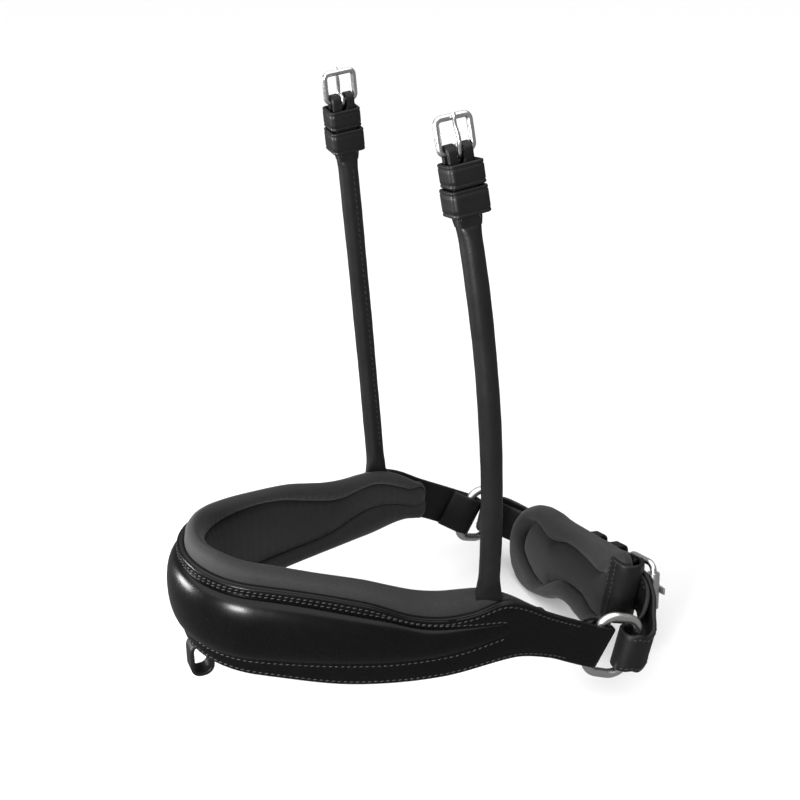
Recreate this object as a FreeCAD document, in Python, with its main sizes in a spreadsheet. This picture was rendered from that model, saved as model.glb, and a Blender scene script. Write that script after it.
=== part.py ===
import FreeCAD, Part
import math
import os

import Sketcher
from FreeCAD import Placement, Rotation
from FreeCAD import Vector as V

# Padded horse noseband: a leather band round the nose with a raised front and a
# soft lining, two rolled cheekpieces with buckles, a ring at each end, and a
# chin pad on a crank strap that doubles back through the rings.
# Frame: +Z up, front of the nose towards -Y, chin towards +Y, right side +X.

doc = FreeCAD.newDocument("noseband")
sheet = doc.addObject("Spreadsheet::Sheet", "dims")

DIMENSIONS = {
    # plan of the band: one nose arc and two side arcs, then straight ends
    "nose_radius": 40.0, "nose_half_angle": 63.0, "side_radius": 330.0,
    "nose_front": 90.3, "plan_end": 100.0,
    # layers of the band, measured out from its outer face
    "backing_thick": 2.6, "roll_rise": 5.6, "roll_skin": 1.4,
    "pad_thick": 10.4, "pad_skin": 1.3,
    # end folds round the rings
    "fold_slope": 28.0, "fold_mid_across": 86.2, "fold_mid_up": -5.95,
    "strap_end_width": 21.4, "fold_reach": 12.0, "slot_half": 2.0,
    # rings
    "ring_wire": 4.5, "ring_height": 35.0, "ring_width": 27.0, "ring_corner": 6.0,
    "ring_gap": 0.45, "ring_tilt": 20.0, "ring_yaw": 8.0,
    # rolled cheekpieces
    "roll_dia": 9.4, "core_dia": 5.4, "root_width": 12.4, "root_thick": 3.2,
    "root_height": 20.0,
    # cheek heads: flat strap folded round the buckle's bar
    "cheek_width": 10.8, "cheek_ply": 1.9, "cheek_gap": 3.0,
    "bar_height": 34.5, "neck_height": 10.0, "root_angle": 81.0,
    "cheek_frame_width": 16.4, "cheek_frame_height": 15.4, "cheek_wire": 2.5,
    "cheek_frame_corner": 2.2, "cheek_tongue_width": 2.2,
    "keeper_wall": 1.5, "keeper_inner_width": 12.0, "keeper_inner_depth": 9.4,
    "keeper_height": 9.0, "slider_height": 10.4,
    "slider_inner_width": 12.8, "slider_inner_depth": 10.2,
    # chin pad and its crank strap
    "chin_width": 110.0, "chin_height": 50.0, "chin_thick": 12.0, "chin_skin": 1.3,
    "chin_plate_thick": 2.4, "crank_width": 20.0, "crank_thick": 2.2,
    "crank_wire": 3.2, "crank_frame_width": 30.0, "crank_frame_length": 23.2,
    "roller_dia": 6.2, "roller_length": 18.0, "crank_tongue_width": 3.0,
    "chape_ply": 1.8,
    "crank_keeper_width": 8.0, "crank_keeper_wall": 1.8,
    # flash strap loop under the nose
    "flash_width": 9.0, "flash_thick": 2.0, "flash_inner_deep": 7.2, "flash_inner_tall": 14.8,
}
for row, (alias, number) in enumerate(DIMENSIONS.items(), start=1):
    sheet.set("A%d" % row, alias)
    sheet.set("B%d" % row, str(number))
    sheet.setAlias("B%d" % row, alias)
doc.recompute()


def dim(alias):
    """A size read back from the sheet."""
    return float(sheet.get(alias))


YZ_TURN = Rotation(V(1, 1, 1), 120)      # sketch x, y, normal become Y, Z, X
SIDES = (("right", 1), ("left", -1))
nodes = {}


def keep(feature, node, placement=None):
    """Name a finished sub-part, and put it in its place."""
    feature.Label = node
    if placement is not None:
        feature.Placement = placement
    nodes[node] = feature
    return feature


# ---------------------------------------------------------------- sketches
def join_ends(sketch):
    """Tie together the edge ends that lie on one point."""
    ends = [(index, side) for index in range(sketch.GeometryCount) for side in (1, 2)]
    for place, (index, side) in enumerate(ends):
        for other, other_side in ends[place + 1:]:
            if other == index:
                continue
            if sketch.getPoint(index, side).distanceToPoint(sketch.getPoint(other, other_side)) < 1e-4:
                sketch.addConstraint(
                    Sketcher.Constraint("Coincident", index, side, other, other_side))


def line(start, end):
    return Part.LineSegment(V(start[0], start[1], 0), V(end[0], end[1], 0))


def arc(start, middle, end):
    points = [V(p[0], p[1], 0) for p in (start, middle, end)]
    return Part.Arc(*points)


def curve(points):
    spline = Part.BSplineCurve()
    spline.interpolate([V(p[0], p[1], 0) for p in points])
    return spline


def free_sketch(name, edges, across_x=False):
    """A sketch on the XY plane, or on the YZ plane for a side outline."""
    sketch = doc.addObject("Sketcher::SketchObject", name)
    if across_x:
        sketch.Placement = Placement(V(0, 0, 0), YZ_TURN)
    for edge in edges:
        sketch.addGeometry(edge)
    return sketch


def body_sketch(body, role, name, edges):
    """A sketch on one of a body's own origin planes."""
    sketch = body.newObject("Sketcher::SketchObject", name)
    plane = next(f for f in body.Origin.OriginFeatures if f.Role == role)
    sketch.AttachmentSupport = [(plane, "")]
    sketch.MapMode = "FlatFace"
    for edge in edges:
        sketch.addGeometry(edge)
    return sketch


def rounded_box(half_x, half_y, radius, mid=(0.0, 0.0)):
    """Edges of a rounded rectangle, anticlockwise from its lower right corner."""
    cx, cy = mid
    bend = radius * (1 - math.sqrt(0.5))
    edges = []
    for qx, qy in ((1, -1), (1, 1), (-1, 1), (-1, -1)):
        corner = (cx + qx * half_x, cy + qy * half_y)
        along_x = (corner[0] - qx * radius, corner[1])
        along_y = (corner[0], corner[1] - qy * radius)
        middle = (corner[0] - qx * bend, corner[1] - qy * bend)
        first, last = (along_x, along_y) if qx * qy < 0 else (along_y, along_x)
        if edges and math.dist(ends, first) > 1e-6:
            edges.append(line(ends, first))
        edges.append(arc(first, middle, last))
        ends = last
        if len(edges) == 1:
            opening = first
    if math.dist(ends, opening) > 1e-6:
        edges.append(line(ends, opening))
    return edges


# ------------------------------------------------------------ solid helpers
def extrude(name, base, direction, forward, backward):
    """Extrude a sketch or face, both lengths bound to the sheet."""
    solid = doc.addObject("Part::Extrusion", name)
    solid.Base = base
    solid.DirMode = "Custom"
    solid.Dir = direction
    solid.Solid = True
    solid.setExpression("LengthFwd", forward)
    solid.setExpression("LengthRev", backward)
    return solid


def strap(name, edges, thickness, width):
    """A strap seen edge on: a path given a thickness on its right-hand side."""
    sketch = free_sketch(name + "_path", edges)
    join_ends(sketch)
    ply = doc.addObject("Part::Offset2D", name + "_ply")
    ply.Source = sketch
    ply.Mode = "Skin"
    ply.Join = "Arc"
    ply.Fill = True
    ply.setExpression("Value", thickness)
    half = "(%s) / 2" % width
    return extrude(name, ply, V(0, 0, 1), half, half)


def loop(name, half_x, half_y, radius, wall, height):
    """A closed band round a rectangle, standing on the XY plane's both sides."""
    thick = dim(wall)
    edges = rounded_box(half_x, half_y, radius)
    edges += rounded_box(half_x + thick, half_y + thick, radius + thick)
    sketch = free_sketch(name + "_rings", edges)
    join_ends(sketch)
    half = "dims.%s / 2" % height
    return extrude(name, sketch, V(0, 0, 1), half, half)


def combine(kind, name, base, tool):
    """Part::Cut or Part::Common of two features."""
    result = doc.addObject(kind, name)
    result.Base = base
    result.Tool = tool
    return result


def box(name, low, high):
    """A plain block between two corners."""
    block = doc.addObject("Part::Box", name)
    block.Length = high[0] - low[0]
    block.Width = high[1] - low[1]
    block.Height = high[2] - low[2]
    block.Placement.Base = V(*low)
    return block


def wire_frame(name, half_y, half_z, corner, wire, mid=(0.0, 0.0)):
    """A closed bent wire lying in the body's own YZ plane."""
    body = doc.addObject("PartDesign::Body", name)
    spine = body_sketch(body, "YZ_Plane", name + "_spine",
                        rounded_box(half_y, half_z, corner, mid))
    join_ends(spine)
    start = (mid[0], mid[1] - half_z)
    section = body_sketch(body, "XZ_Plane", name + "_section",
                          [Part.Circle(V(0, start[1], 0), V(0, 0, 1), 1.0)])
    section.AttachmentOffset = Placement(V(0, 0, -start[0]), Rotation())
    section.addConstraint(Sketcher.Constraint("Radius", 0, 1.0))
    section.setExpression("Constraints[0]", "dims.%s / 2" % wire)
    pipe = body.newObject("PartDesign::AdditivePipe", name + "_pipe")
    pipe.Profile = section
    pipe.Spine = (spine, ["Edge%d" % (n + 1) for n in range(spine.GeometryCount)])
    pipe.Mode = "Standard"
    return body


# --------------------------------------------------------- plan of the band
def plan_edges(offset):
    """The band's plan at one offset from its outer face, right end to left end."""
    half = math.radians(dim("nose_half_angle"))
    nose_r = dim("nose_radius")
    side_r = dim("side_radius")
    nose_mid = V(0, nose_r - dim("nose_front"), 0)
    shift = side_r - nose_r
    end_y = dim("plan_end")

    def on_nose(angle):
        radius = nose_r + offset
        return nose_mid + V(radius * math.sin(angle), -radius * math.cos(angle), 0)

    def on_side(angle, side):
        radius = side_r + offset
        centre = nose_mid + V(-side * shift * math.sin(half), shift * math.cos(half), 0)
        return centre + V(side * radius * math.sin(angle), -radius * math.cos(angle), 0)

    square = math.pi / 2
    middle = (half + square) / 2
    right = [on_side(angle, 1) for angle in (square, middle, half)]
    left = [on_side(angle, -1) for angle in (half, middle, square)]
    return [
        Part.LineSegment(V(right[0].x, end_y, 0), right[0]),
        Part.Arc(*right),
        Part.Arc(on_nose(half), on_nose(0), on_nose(-half)),
        Part.Arc(*left),
        Part.LineSegment(left[2], V(left[2].x, end_y, 0)),
    ]


BLANK_UP = 70.0                                      # beyond every outline, up and down
BLANK_DOWN = 40.0
SLAB_HALF = 100.0


def band_blank(name, inner, outer):
    """The strip between two offsets, tall enough for any outline."""
    outer_edges = plan_edges(outer)
    inner_edges = plan_edges(inner)
    ends = [
        Part.LineSegment(outer_edges[-1].EndPoint, inner_edges[-1].EndPoint),
        Part.LineSegment(inner_edges[0].StartPoint, outer_edges[0].StartPoint),
    ]
    sketch = free_sketch(name + "_plan", outer_edges + [ends[0]] + inner_edges + [ends[1]])
    blank = doc.addObject("Part::Extrusion", name + "_blank")
    blank.Base = sketch
    blank.DirMode = "Custom"
    blank.Dir = V(0, 0, 1)
    blank.Solid = True
    blank.LengthFwd = BLANK_UP
    blank.LengthRev = BLANK_DOWN
    return blank


def outline_solid(name, edges):
    """A side outline extruded right through the band."""
    sketch = free_sketch(name + "_outline", edges, across_x=True)
    join_ends(sketch)
    slab = doc.addObject("Part::Extrusion", name + "_slab")
    slab.Base = sketch
    slab.DirMode = "Custom"
    slab.Dir = V(1, 0, 0)
    slab.Solid = True
    slab.LengthFwd = SLAB_HALF
    slab.LengthRev = SLAB_HALF
    return slab


def band_layer(name, inner, outer, edges):
    """The strip between two offsets, cut to a side outline."""
    blank = band_blank(name, inner, outer)
    slab = outline_solid(name, edges)
    return combine("Part::Common", name + "_layer", blank, slab)


slope = math.radians(dim("fold_slope"))
ALONG = V(0, math.cos(slope), -math.sin(slope))      # down the end strap
ACROSS = V(0, math.sin(slope), math.cos(slope))      # up the ring's bar
fold_mid = V(0, dim("fold_mid_across"), dim("fold_mid_up"))
end_top = fold_mid + ACROSS * (dim("strap_end_width") / 2)
end_low = fold_mid - ACROSS * (dim("strap_end_width") / 2)
FRONT = -110.0

# outer edge of the band: high at the nose, a dip, a crest at the cheek, a slope
top_curve = [(-90, 50.4), (-52, 45.0), (-24, 38.0), (-6, 30.2), (8, 27.2),
             (22, 27.9), (36, 31.6), (46, 28.6), (60, 20.2)]
low_curve = [(60, -4.2), (46, 0.4), (36, 0.4), (8, -3.6), (-30, -3.6), (-62, 1.0), (-90, 5.0)]
backing_edges = [
    line((FRONT, top_curve[0][1]), top_curve[0]),
    curve(top_curve),
    line(top_curve[-1], (end_top.y, end_top.z)),
    line((end_top.y, end_top.z), (end_low.y, end_low.z)),
    line((end_low.y, end_low.z), low_curve[0]),
    curve(low_curve),
    line(low_curve[-1], (FRONT, low_curve[-1][1])),
    line((FRONT, low_curve[-1][1]), (FRONT, top_curve[0][1])),
]


def lens_edges(top, low, tip, inset):
    """A long outline with a round rear end, set in all round by a skin."""
    upper = [(y, z - inset) for y, z in top]
    lower = [(y, z + inset) for y, z in low]
    return [
        line((FRONT, upper[0][1]), upper[0]),
        curve(upper),
        arc(upper[-1], (tip[0] - inset, tip[1]), lower[0]),
        curve(lower),
        line(lower[-1], (FRONT, lower[-1][1])),
        line((FRONT, lower[-1][1]), (FRONT, upper[0][1])),
    ]


def roll_edges(inset=0.0):
    top = [(-90, 45.2), (-53, 40.0), (-19, 31.0), (0, 24.4), (17, 22.0), (34, 20.6)]
    low = [(34, 13.6), (17, 9.6), (0, 8.0), (-19, 7.7), (-54, 9.8), (-90, 12.6)]
    return lens_edges(top, low, (38.2, 17.2), inset)


def pad_edges(inset=0.0):
    top = [(-84, 57.6), (-60, 52.8), (-35, 46.8), (-10, 40.4), (10, 36.0), (33, 34.0),
           (45, 29.4), (55, 23.6), (65, 16.4)]
    low = [(60, -2.6), (45, 0.6), (20, -0.8), (-10, -0.6), (-40, 0.8), (-80, 3.2)]
    return lens_edges(top, low, (67.5, 6.0), inset)


# ----------------------------------------------------- band with end folds
backing_t = dim("backing_thick")
wall_x = dim("side_radius") - (dim("side_radius") - dim("nose_radius")) * math.sin(
    math.radians(dim("nose_half_angle")))            # outer face of the straight ends
bar_room = dim("ring_wire") / 2 + dim("ring_gap")
slot_half = dim("slot_half")
bar_x = wall_x - backing_t - bar_room

band = band_layer("backing", -backing_t, 0.0, backing_edges)
# the fold in its own plan: x across the band, y down the strap from the slot's middle
WEDGE = 4.0                                          # where the two plies meet, short of the end
SPARE = 3.0
outer_r = bar_room + backing_t
fold_edges = [
    line((wall_x, -dim("fold_reach")), (wall_x, slot_half)),
    arc((wall_x, slot_half), (bar_x, slot_half + outer_r), (bar_x - outer_r, slot_half)),
    line((bar_x - outer_r, slot_half), (bar_x - outer_r, -slot_half)),
    line((bar_x - outer_r, -slot_half), (wall_x - 2 * backing_t, -dim("fold_reach"))),
    line((wall_x - 2 * backing_t, -dim("fold_reach")), (wall_x, -dim("fold_reach"))),
]
cavity_edges = [
    arc((bar_x + bar_room, slot_half), (bar_x, slot_half + bar_room), (bar_x - bar_room, slot_half)),
    line((bar_x - bar_room, slot_half), (bar_x - bar_room, -slot_half)),
    line((bar_x - bar_room, -slot_half), (bar_x + bar_room, -dim("fold_reach") + WEDGE)),
    line((bar_x + bar_room, -dim("fold_reach") + WEDGE), (bar_x + bar_room, slot_half)),
]
fold_turn = Placement(fold_mid, Rotation(V(1, 0, 0), -dim("fold_slope")))
fold_outer = free_sketch("fold_outer", fold_edges)
join_ends(fold_outer)
fold_cavity = free_sketch("fold_cavity", cavity_edges)
join_ends(fold_cavity)
half_width = "dims.strap_end_width / 2"
fold_solid = extrude("fold_solid", fold_outer, V(0, 0, 1), half_width, half_width)
fold_hollow = extrude("fold_hollow", fold_cavity, V(0, 0, 1),
                      half_width + " + %f" % SPARE, half_width + " + %f" % SPARE)
fold_right = combine("Part::Cut", "fold_right", fold_solid, fold_hollow)
fold_right.Placement = fold_turn
fold_left = doc.addObject("Part::Mirroring", "fold_left")
fold_left.Source = fold_right
fold_left.Normal = V(1, 0, 0)
whole_band = doc.addObject("Part::MultiFuse", "whole_band")
whole_band.Shapes = [band, fold_right, fold_left]
whole_band.Refine = True
keep(whole_band, "noseband_backing")

# raised front: a leather skin drawn over a firm core
roll_block = band_layer("roll", 0.0, dim("roll_rise"), roll_edges())
roll_core = band_layer("roll_core", 0.0, dim("roll_rise") - dim("roll_skin"),
                       roll_edges(dim("roll_skin")))
keep(combine("Part::Cut", "roll_cover", roll_block, roll_core), "raised_front")
keep(roll_core, "front_core")

# ------------------------------------------------------- soft lining and roots
# the sewn-in end of each cheekpiece stands between the leather and the lining
side_angle = math.radians(dim("root_angle"))
side_shift = dim("side_radius") - dim("nose_radius")
nose_half = math.radians(dim("nose_half_angle"))
root_wall = V(dim("side_radius") * math.sin(side_angle) - side_shift * math.sin(nose_half),
              dim("nose_radius") - dim("nose_front") + side_shift * math.cos(nose_half)
              - dim("side_radius") * math.cos(side_angle), 0)
ROOT_TOP = 34.6
ROOT_CLEAR = 0.15
root_deep = backing_t + ROOT_CLEAR + dim("root_thick")
roots = []
for side_name, side in SIDES:
    turn = 90 - dim("root_angle")
    spin = -turn if side > 0 else 180 + turn
    frame = Placement(V(side * root_wall.x, root_wall.y, 0), Rotation(V(0, 0, 1), spin))
    corner = V(-root_deep, -dim("root_width") / 2, ROOT_TOP - dim("root_height"))
    root = doc.addObject("Part::Box", "root_" + side_name)
    root.setExpression("Length", "dims.root_thick")
    root.setExpression("Width", "dims.root_width")
    root.setExpression("Height", "dims.root_height")
    keep(root, "cheek_root_" + side_name, frame * Placement(corner, Rotation()))
    pocket = doc.addObject("Part::Box", "pocket_" + side_name)
    pocket.setExpression("Length", "dims.root_thick + 1")
    pocket.setExpression("Width", "dims.root_width")
    pocket.setExpression("Height", "dims.root_height + 20")
    pocket.Placement = frame * Placement(corner, Rotation())
    roots.append(pocket)

pad_out = -backing_t
pad_in = pad_out - dim("pad_thick")
skin = dim("pad_skin")
pad_block = band_layer("pad", pad_in, pad_out, pad_edges())
foam_block = band_layer("foam", pad_in + skin, pad_out - skin, pad_edges(skin))
pockets = doc.addObject("Part::MultiFuse", "pockets")
pockets.Shapes = roots
foam = combine("Part::Cut", "foam", foam_block, pockets)
pad_shell = combine("Part::Cut", "pad_shell", pad_block, foam_block)
keep(combine("Part::Cut", "pad_cover", pad_shell, pockets), "nose_pad_cover")
keep(foam, "nose_pad_foam")

# loop for the flash strap, hung under the front of the nose
FLASH_MID = V(0, -85.5, -6.4)
FLASH_CORNER = 3.0
flash = loop("flash", dim("flash_inner_deep") / 2, dim("flash_inner_tall") / 2, FLASH_CORNER,
             "flash_thick", "flash_width")
keep(flash, "flash_loop", Placement(FLASH_MID, YZ_TURN))

# -------------------------------------------------------------------- rings
ring_half_y = (dim("ring_width") - dim("ring_wire")) / 2
ring_half_z = (dim("ring_height") - dim("ring_wire")) / 2
ring_turn = Rotation(V(1, 0, 0), -dim("ring_tilt"))
for side_name, side in SIDES:
    ring = wire_frame("ring_" + side_name, ring_half_y, ring_half_z,
                      dim("ring_corner"), "ring_wire", (ring_half_y, 0.0))
    yaw = Rotation(V(0, 0, 1), -side * dim("ring_yaw"))
    place = Placement(V(side * bar_x, fold_mid.y, fold_mid.z), ring_turn * yaw)
    keep(ring, side_name + "_ring", place)

# ----------------------------------------------------------- rolled cheeks
# one arc from the root to the neck, bowed outwards, leaning forwards and in
ARC_BASE = V(63.3, 30.4, 40.2)
ARC_MID = V(67.4, 25.4, 120.0)
ARC_TOP = V(62.3, 16.6, 197.0)
bar_height = dim("bar_height")
neck = dim("neck_height")
cheek_half = dim("cheek_gap") / 2
fold_turn_head = Rotation(V(1, 0, 0), 90)            # sketch x, y become X, Z
KEEPER_CORNER = 0.8
PLATE_LONG = 18.0                                    # filler between the two plies of the head
PLATE_LAP = 2.0
TONGUE_SLOT = V(6.0, 1.6, 6.0)                       # half sizes across, along the bar; top
SLOT_FOOT = 4.5
for side_name, side in SIDES:
    base, middle, top = [V(side * p.x, p.y, p.z) for p in (ARC_BASE, ARC_MID, ARC_TOP)]
    circle = Part.Circle(base, middle, top)
    ring_axis = circle.Axis
    start = (base - circle.Center).normalize()
    finish = (top - circle.Center).normalize()
    if start.cross(finish).dot(ring_axis) < 0:
        ring_axis = -ring_axis
    arc_turn = Rotation(start, ring_axis.cross(start), ring_axis, "ZXY")
    arc_place = Placement(circle.Center, arc_turn)
    sweep = math.degrees(start.getAngle(finish))

    def bent_rod(name, diameter):
        rod = doc.addObject("Part::Torus", name)
        rod.Radius1 = circle.Radius
        rod.setExpression("Radius2", "dims.%s / 2" % diameter)
        rod.Angle1 = -180
        rod.Angle2 = 180
        rod.Angle3 = sweep
        rod.Placement = arc_place
        return rod

    # head frame: z up the cheek, x out through its face
    up = ring_axis.cross(finish).normalize()
    out = V(side, 0, 0)
    out = (out - up * out.dot(up)).normalize()
    head = Placement(top, Rotation(out, up.cross(out), up, "ZXY"))

    rod = bent_rod("rod_" + side_name, "roll_dia")
    cord = bent_rod("cord_" + side_name, "core_dia")
    heel = doc.addObject("Part::Sphere", "heel_" + side_name)
    heel.setExpression("Radius", "dims.roll_dia / 2")
    heel.Placement.Base = base
    low = free_sketch("neck_low_" + side_name,
                      [Part.Circle(V(0, 0, 0), V(0, 0, 1), dim("roll_dia") / 2)])
    flat = Part.Ellipse(V(0, 0, 0), dim("cheek_width") / 2,
                        cheek_half + dim("cheek_ply"))
    high = free_sketch("neck_high_" + side_name, [flat])
    turned = Rotation(V(0, 0, 1), 90)                # long axis of the oval across the cheek
    low.Placement = head * Placement(V(0, 0, 0), turned)
    high.Placement = head * Placement(V(0, 0, neck), turned)
    loft = doc.addObject("Part::Loft", "neck_" + side_name)
    loft.Sections = [low, high]
    loft.Solid = True
    plate = doc.addObject("Part::Box", "plate_" + side_name)
    plate.setExpression("Length", "dims.cheek_gap")
    plate.setExpression("Width", "dims.cheek_width")
    plate.Height = PLATE_LONG
    plate.Placement = head * Placement(V(-cheek_half, -dim("cheek_width") / 2, neck - PLATE_LAP),
                                       Rotation())
    whole = doc.addObject("Part::MultiFuse", "cheek_" + side_name)
    whole.Shapes = [rod, heel, loft, plate]
    whole.Refine = True
    keep(combine("Part::Cut", "roll_" + side_name, whole, cord), "rolled_cheek_" + side_name)
    keep(cord, "cheek_core_" + side_name)

    # flat strap folded over the buckle's heel bar, with a slot for the tongue
    fold = strap("cheek_fold_" + side_name, [
        line((cheek_half, neck), (cheek_half, bar_height)),
        arc((cheek_half, bar_height), (0, bar_height + cheek_half), (-cheek_half, bar_height)),
        line((-cheek_half, bar_height), (-cheek_half, neck)),
    ], "dims.cheek_ply", "dims.cheek_width")
    fold.Placement = Placement(V(0, 0, 0), fold_turn_head)
    slot = box("cheek_slot_" + side_name,
               (-TONGUE_SLOT.x, -TONGUE_SLOT.y, bar_height - SLOT_FOOT),
               (TONGUE_SLOT.x, TONGUE_SLOT.y, bar_height + TONGUE_SLOT.z))
    keep(combine("Part::Cut", "cheek_strap_" + side_name, fold, slot),
         "cheek_strap_" + side_name, head)

    # the keepers: sewn one under the buckle, loose one below it, clear of the roll behind
    back_of_strap = cheek_half + dim("cheek_ply")
    for kind, sizes, back_room, centre in (("fixed", "keeper", 0.1, 26.6),
                                           ("running", "slider", 1.1, 16.3)):
        half_deep = dim(sizes + "_inner_depth") / 2
        keeper = loop("%s_loop_%s" % (kind, side_name), half_deep,
                      dim(sizes + "_inner_width") / 2, KEEPER_CORNER, "keeper_wall",
                      sizes + "_height")
        keep(keeper, "%s_keeper_%s" % (kind, side_name),
             head * Placement(V(half_deep - back_of_strap - back_room, 0, centre), Rotation()))

    # buckle frame and its tongue, both turning on the heel bar
    half_y = (dim("cheek_frame_width") - dim("cheek_wire")) / 2
    half_z = (dim("cheek_frame_height") - dim("cheek_wire")) / 2
    at_bar = head * Placement(V(0, 0, bar_height), Rotation())
    frame = wire_frame("cheek_buckle_frame_" + side_name, half_y, half_z,
                       dim("cheek_frame_corner"), "cheek_wire", (0.0, half_z))
    keep(frame, "cheek_buckle_" + side_name, at_bar)
    bar_r = dim("cheek_wire") / 2
    tongue = doc.addObject("PartDesign::Body", "cheek_tongue_body_" + side_name)
    top_z = 2 * half_z
    prong = [
        line((2.0, 0), (bar_r + 1.75, top_z - 1.5)),
        line((bar_r + 1.75, top_z - 1.5), (bar_r + 1.75, top_z + 1.2)),
        arc((bar_r + 1.75, top_z + 1.2), (bar_r + 1.0, top_z + 2.0), (bar_r + 0.1, top_z + 1.2)),
        line((bar_r + 0.1, top_z + 1.2), (bar_r + 0.1, top_z - 1.5)),
        line((bar_r + 0.1, top_z - 1.5), (0, 2.0)),
        arc((0, 2.0), (-math.sqrt(2.0), -math.sqrt(2.0)), (2.0, 0)),
    ]
    eye = Part.Circle(V(0, 0, 0), V(0, 0, 1), bar_r + 0.05)
    shape = body_sketch(tongue, "XZ_Plane", "cheek_tongue_sketch_" + side_name, prong + [eye])
    pad = tongue.newObject("PartDesign::Pad", "cheek_tongue_pad_" + side_name)
    pad.Profile = shape
    pad.Midplane = True
    pad.setExpression("Length", "dims.cheek_tongue_width")
    keep(tongue, "cheek_tongue_" + side_name, at_bar)
    print("%s cheek: base %s head %s out %s across %s up %s" % (
        side_name, base, top, out, up.cross(out), up))

# ----------------------------------------------------------------- chin pad
# pad frame: x along the pad, y towards the back, z up; the right end rides high
PAD_MID = V(2.0, 114.0, -7.0)
PAD_ROLL = 12.0
PAD_PITCH = 5.0
pad_place = Placement(PAD_MID, Rotation(V(0, 1, 0), -PAD_ROLL) * Rotation(V(1, 0, 0), -PAD_PITCH))


def pad_outline(inset):
    """Two lobes and a waist, as one closed curve set in by a skin."""
    reach = dim("chin_width") / 2 - inset
    tall = dim("chin_height") / 2 - inset
    quarter = [(1.0, 0.0), (0.92, 0.70), (0.66, 1.0), (0.32, 0.90)]
    upper = quarter + [(0.0, 0.82)] + [(-x, z) for x, z in reversed(quarter)]
    lower = [(x, -z) for x, z in reversed(upper[1:-1])]
    spline = Part.BSplineCurve()
    spline.interpolate([V(x * reach, z * tall, 0) for x, z in upper + lower], PeriodicFlag=True)
    return spline


def pad_body(name, inset, rounding):
    body = doc.addObject("PartDesign::Body", name)
    sketch = body_sketch(body, "XZ_Plane", name + "_sketch", [pad_outline(inset)])
    pad = body.newObject("PartDesign::Pad", name + "_pad")
    pad.Profile = sketch
    pad.Midplane = True
    pad.setExpression("Length", "dims.chin_thick - %f * 2" % inset)
    doc.recompute()
    rims = ["Edge%d" % (n + 1) for n, edge in enumerate(pad.Shape.Edges)
            if edge.BoundBox.YLength < 0.01]
    fillet = body.newObject("PartDesign::Fillet", name + "_fillet")
    fillet.Base = (pad, rims)
    fillet.Radius = rounding
    return body


chin_block = pad_body("chin_block", 0.0, 4.6)
chin_foam = pad_body("chin_foam_body", dim("chin_skin"), 3.6)
chin_cover = combine("Part::Cut", "chin_cover", chin_block, chin_foam)
keep(chin_cover, "chin_pad_cover", pad_place)
chin_filling = doc.addObject("Part::Refine", "chin_filling")
chin_filling.Source = chin_foam
keep(chin_filling, "chin_pad_foam", pad_place)

half_thick = dim("chin_thick") / 2
plate_t = dim("chin_plate_thick")
PLATE_HALF = V(43.0, 0, 11.5)
chin_plate = doc.addObject("Part::Box", "chin_plate")
chin_plate.Length = 2 * PLATE_HALF.x
chin_plate.Height = 2 * PLATE_HALF.z
chin_plate.setExpression("Width", "dims.chin_plate_thick")
keep(chin_plate, "chin_pad_plate",
     pad_place * Placement(V(-PLATE_HALF.x, half_thick, -PLATE_HALF.z), Rotation()))

# --------------------------------------------------------- crank strap parts
crank_t = dim("crank_thick")
crank_w = dim("crank_width")
HEEL_X = 30.0                                        # pad frame, along the pad
frame_long = dim("crank_frame_length") - dim("crank_wire")
ROLLER_X = HEEL_X + frame_long
DECK = 16.8                                          # pad frame, out to the buckle's plane
bar_of_ring = {}
for side_name, side in SIDES:
    ring_place = nodes[side_name + "_ring"].Placement
    bar_of_ring[side_name] = ring_place.multVec(V(0, 2 * ring_half_y, 0))
    print(side_name, "ring outer bar", bar_of_ring[side_name])


def ribbon_sections(stations):
    """A strap's cross sections at stations of centre point and up direction."""
    wires = []
    points = [point for point, up in stations]
    for index, (point, up) in enumerate(stations):
        before = points[max(index - 1, 0)]
        after = points[min(index + 1, len(points) - 1)]
        along = (after - before).normalize()
        up = V(up).normalize()
        face = along.cross(up).normalize() * (crank_t / 2)
        tall = up * (crank_w / 2)
        corners = [point + face + tall, point - face + tall,
                   point - face - tall, point + face - tall]
        wires.append(Part.makePolygon(corners + corners[:1]))
    return wires


def ribbon(name, wires):
    """A length of strap through some of its cross sections."""
    feature = doc.addObject("Part::Feature", name)
    feature.Shape = Part.makeLoft(wires, True, True)
    return feature


def on_pad(x, y, z=0.0):
    return (pad_place.multVec(V(x, y, z)), pad_place.Rotation.multVec(V(0, 0, 1)))


UPRIGHT = V(0, 0.2, 1)


def turn_round(bar, side, backset, radius, count=7):
    """Stations of the bend round a ring's outer bar, inner side to outer side."""
    centre = V(bar.x, bar.y - backset, bar.z + 1.4)
    stations = []
    for step in range(count):
        angle = math.pi * step / (count - 1)
        stations.append((centre + V(-side * radius * math.cos(angle),
                                    -radius * math.sin(angle), 0), UPRIGHT))
    return stations


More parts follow.
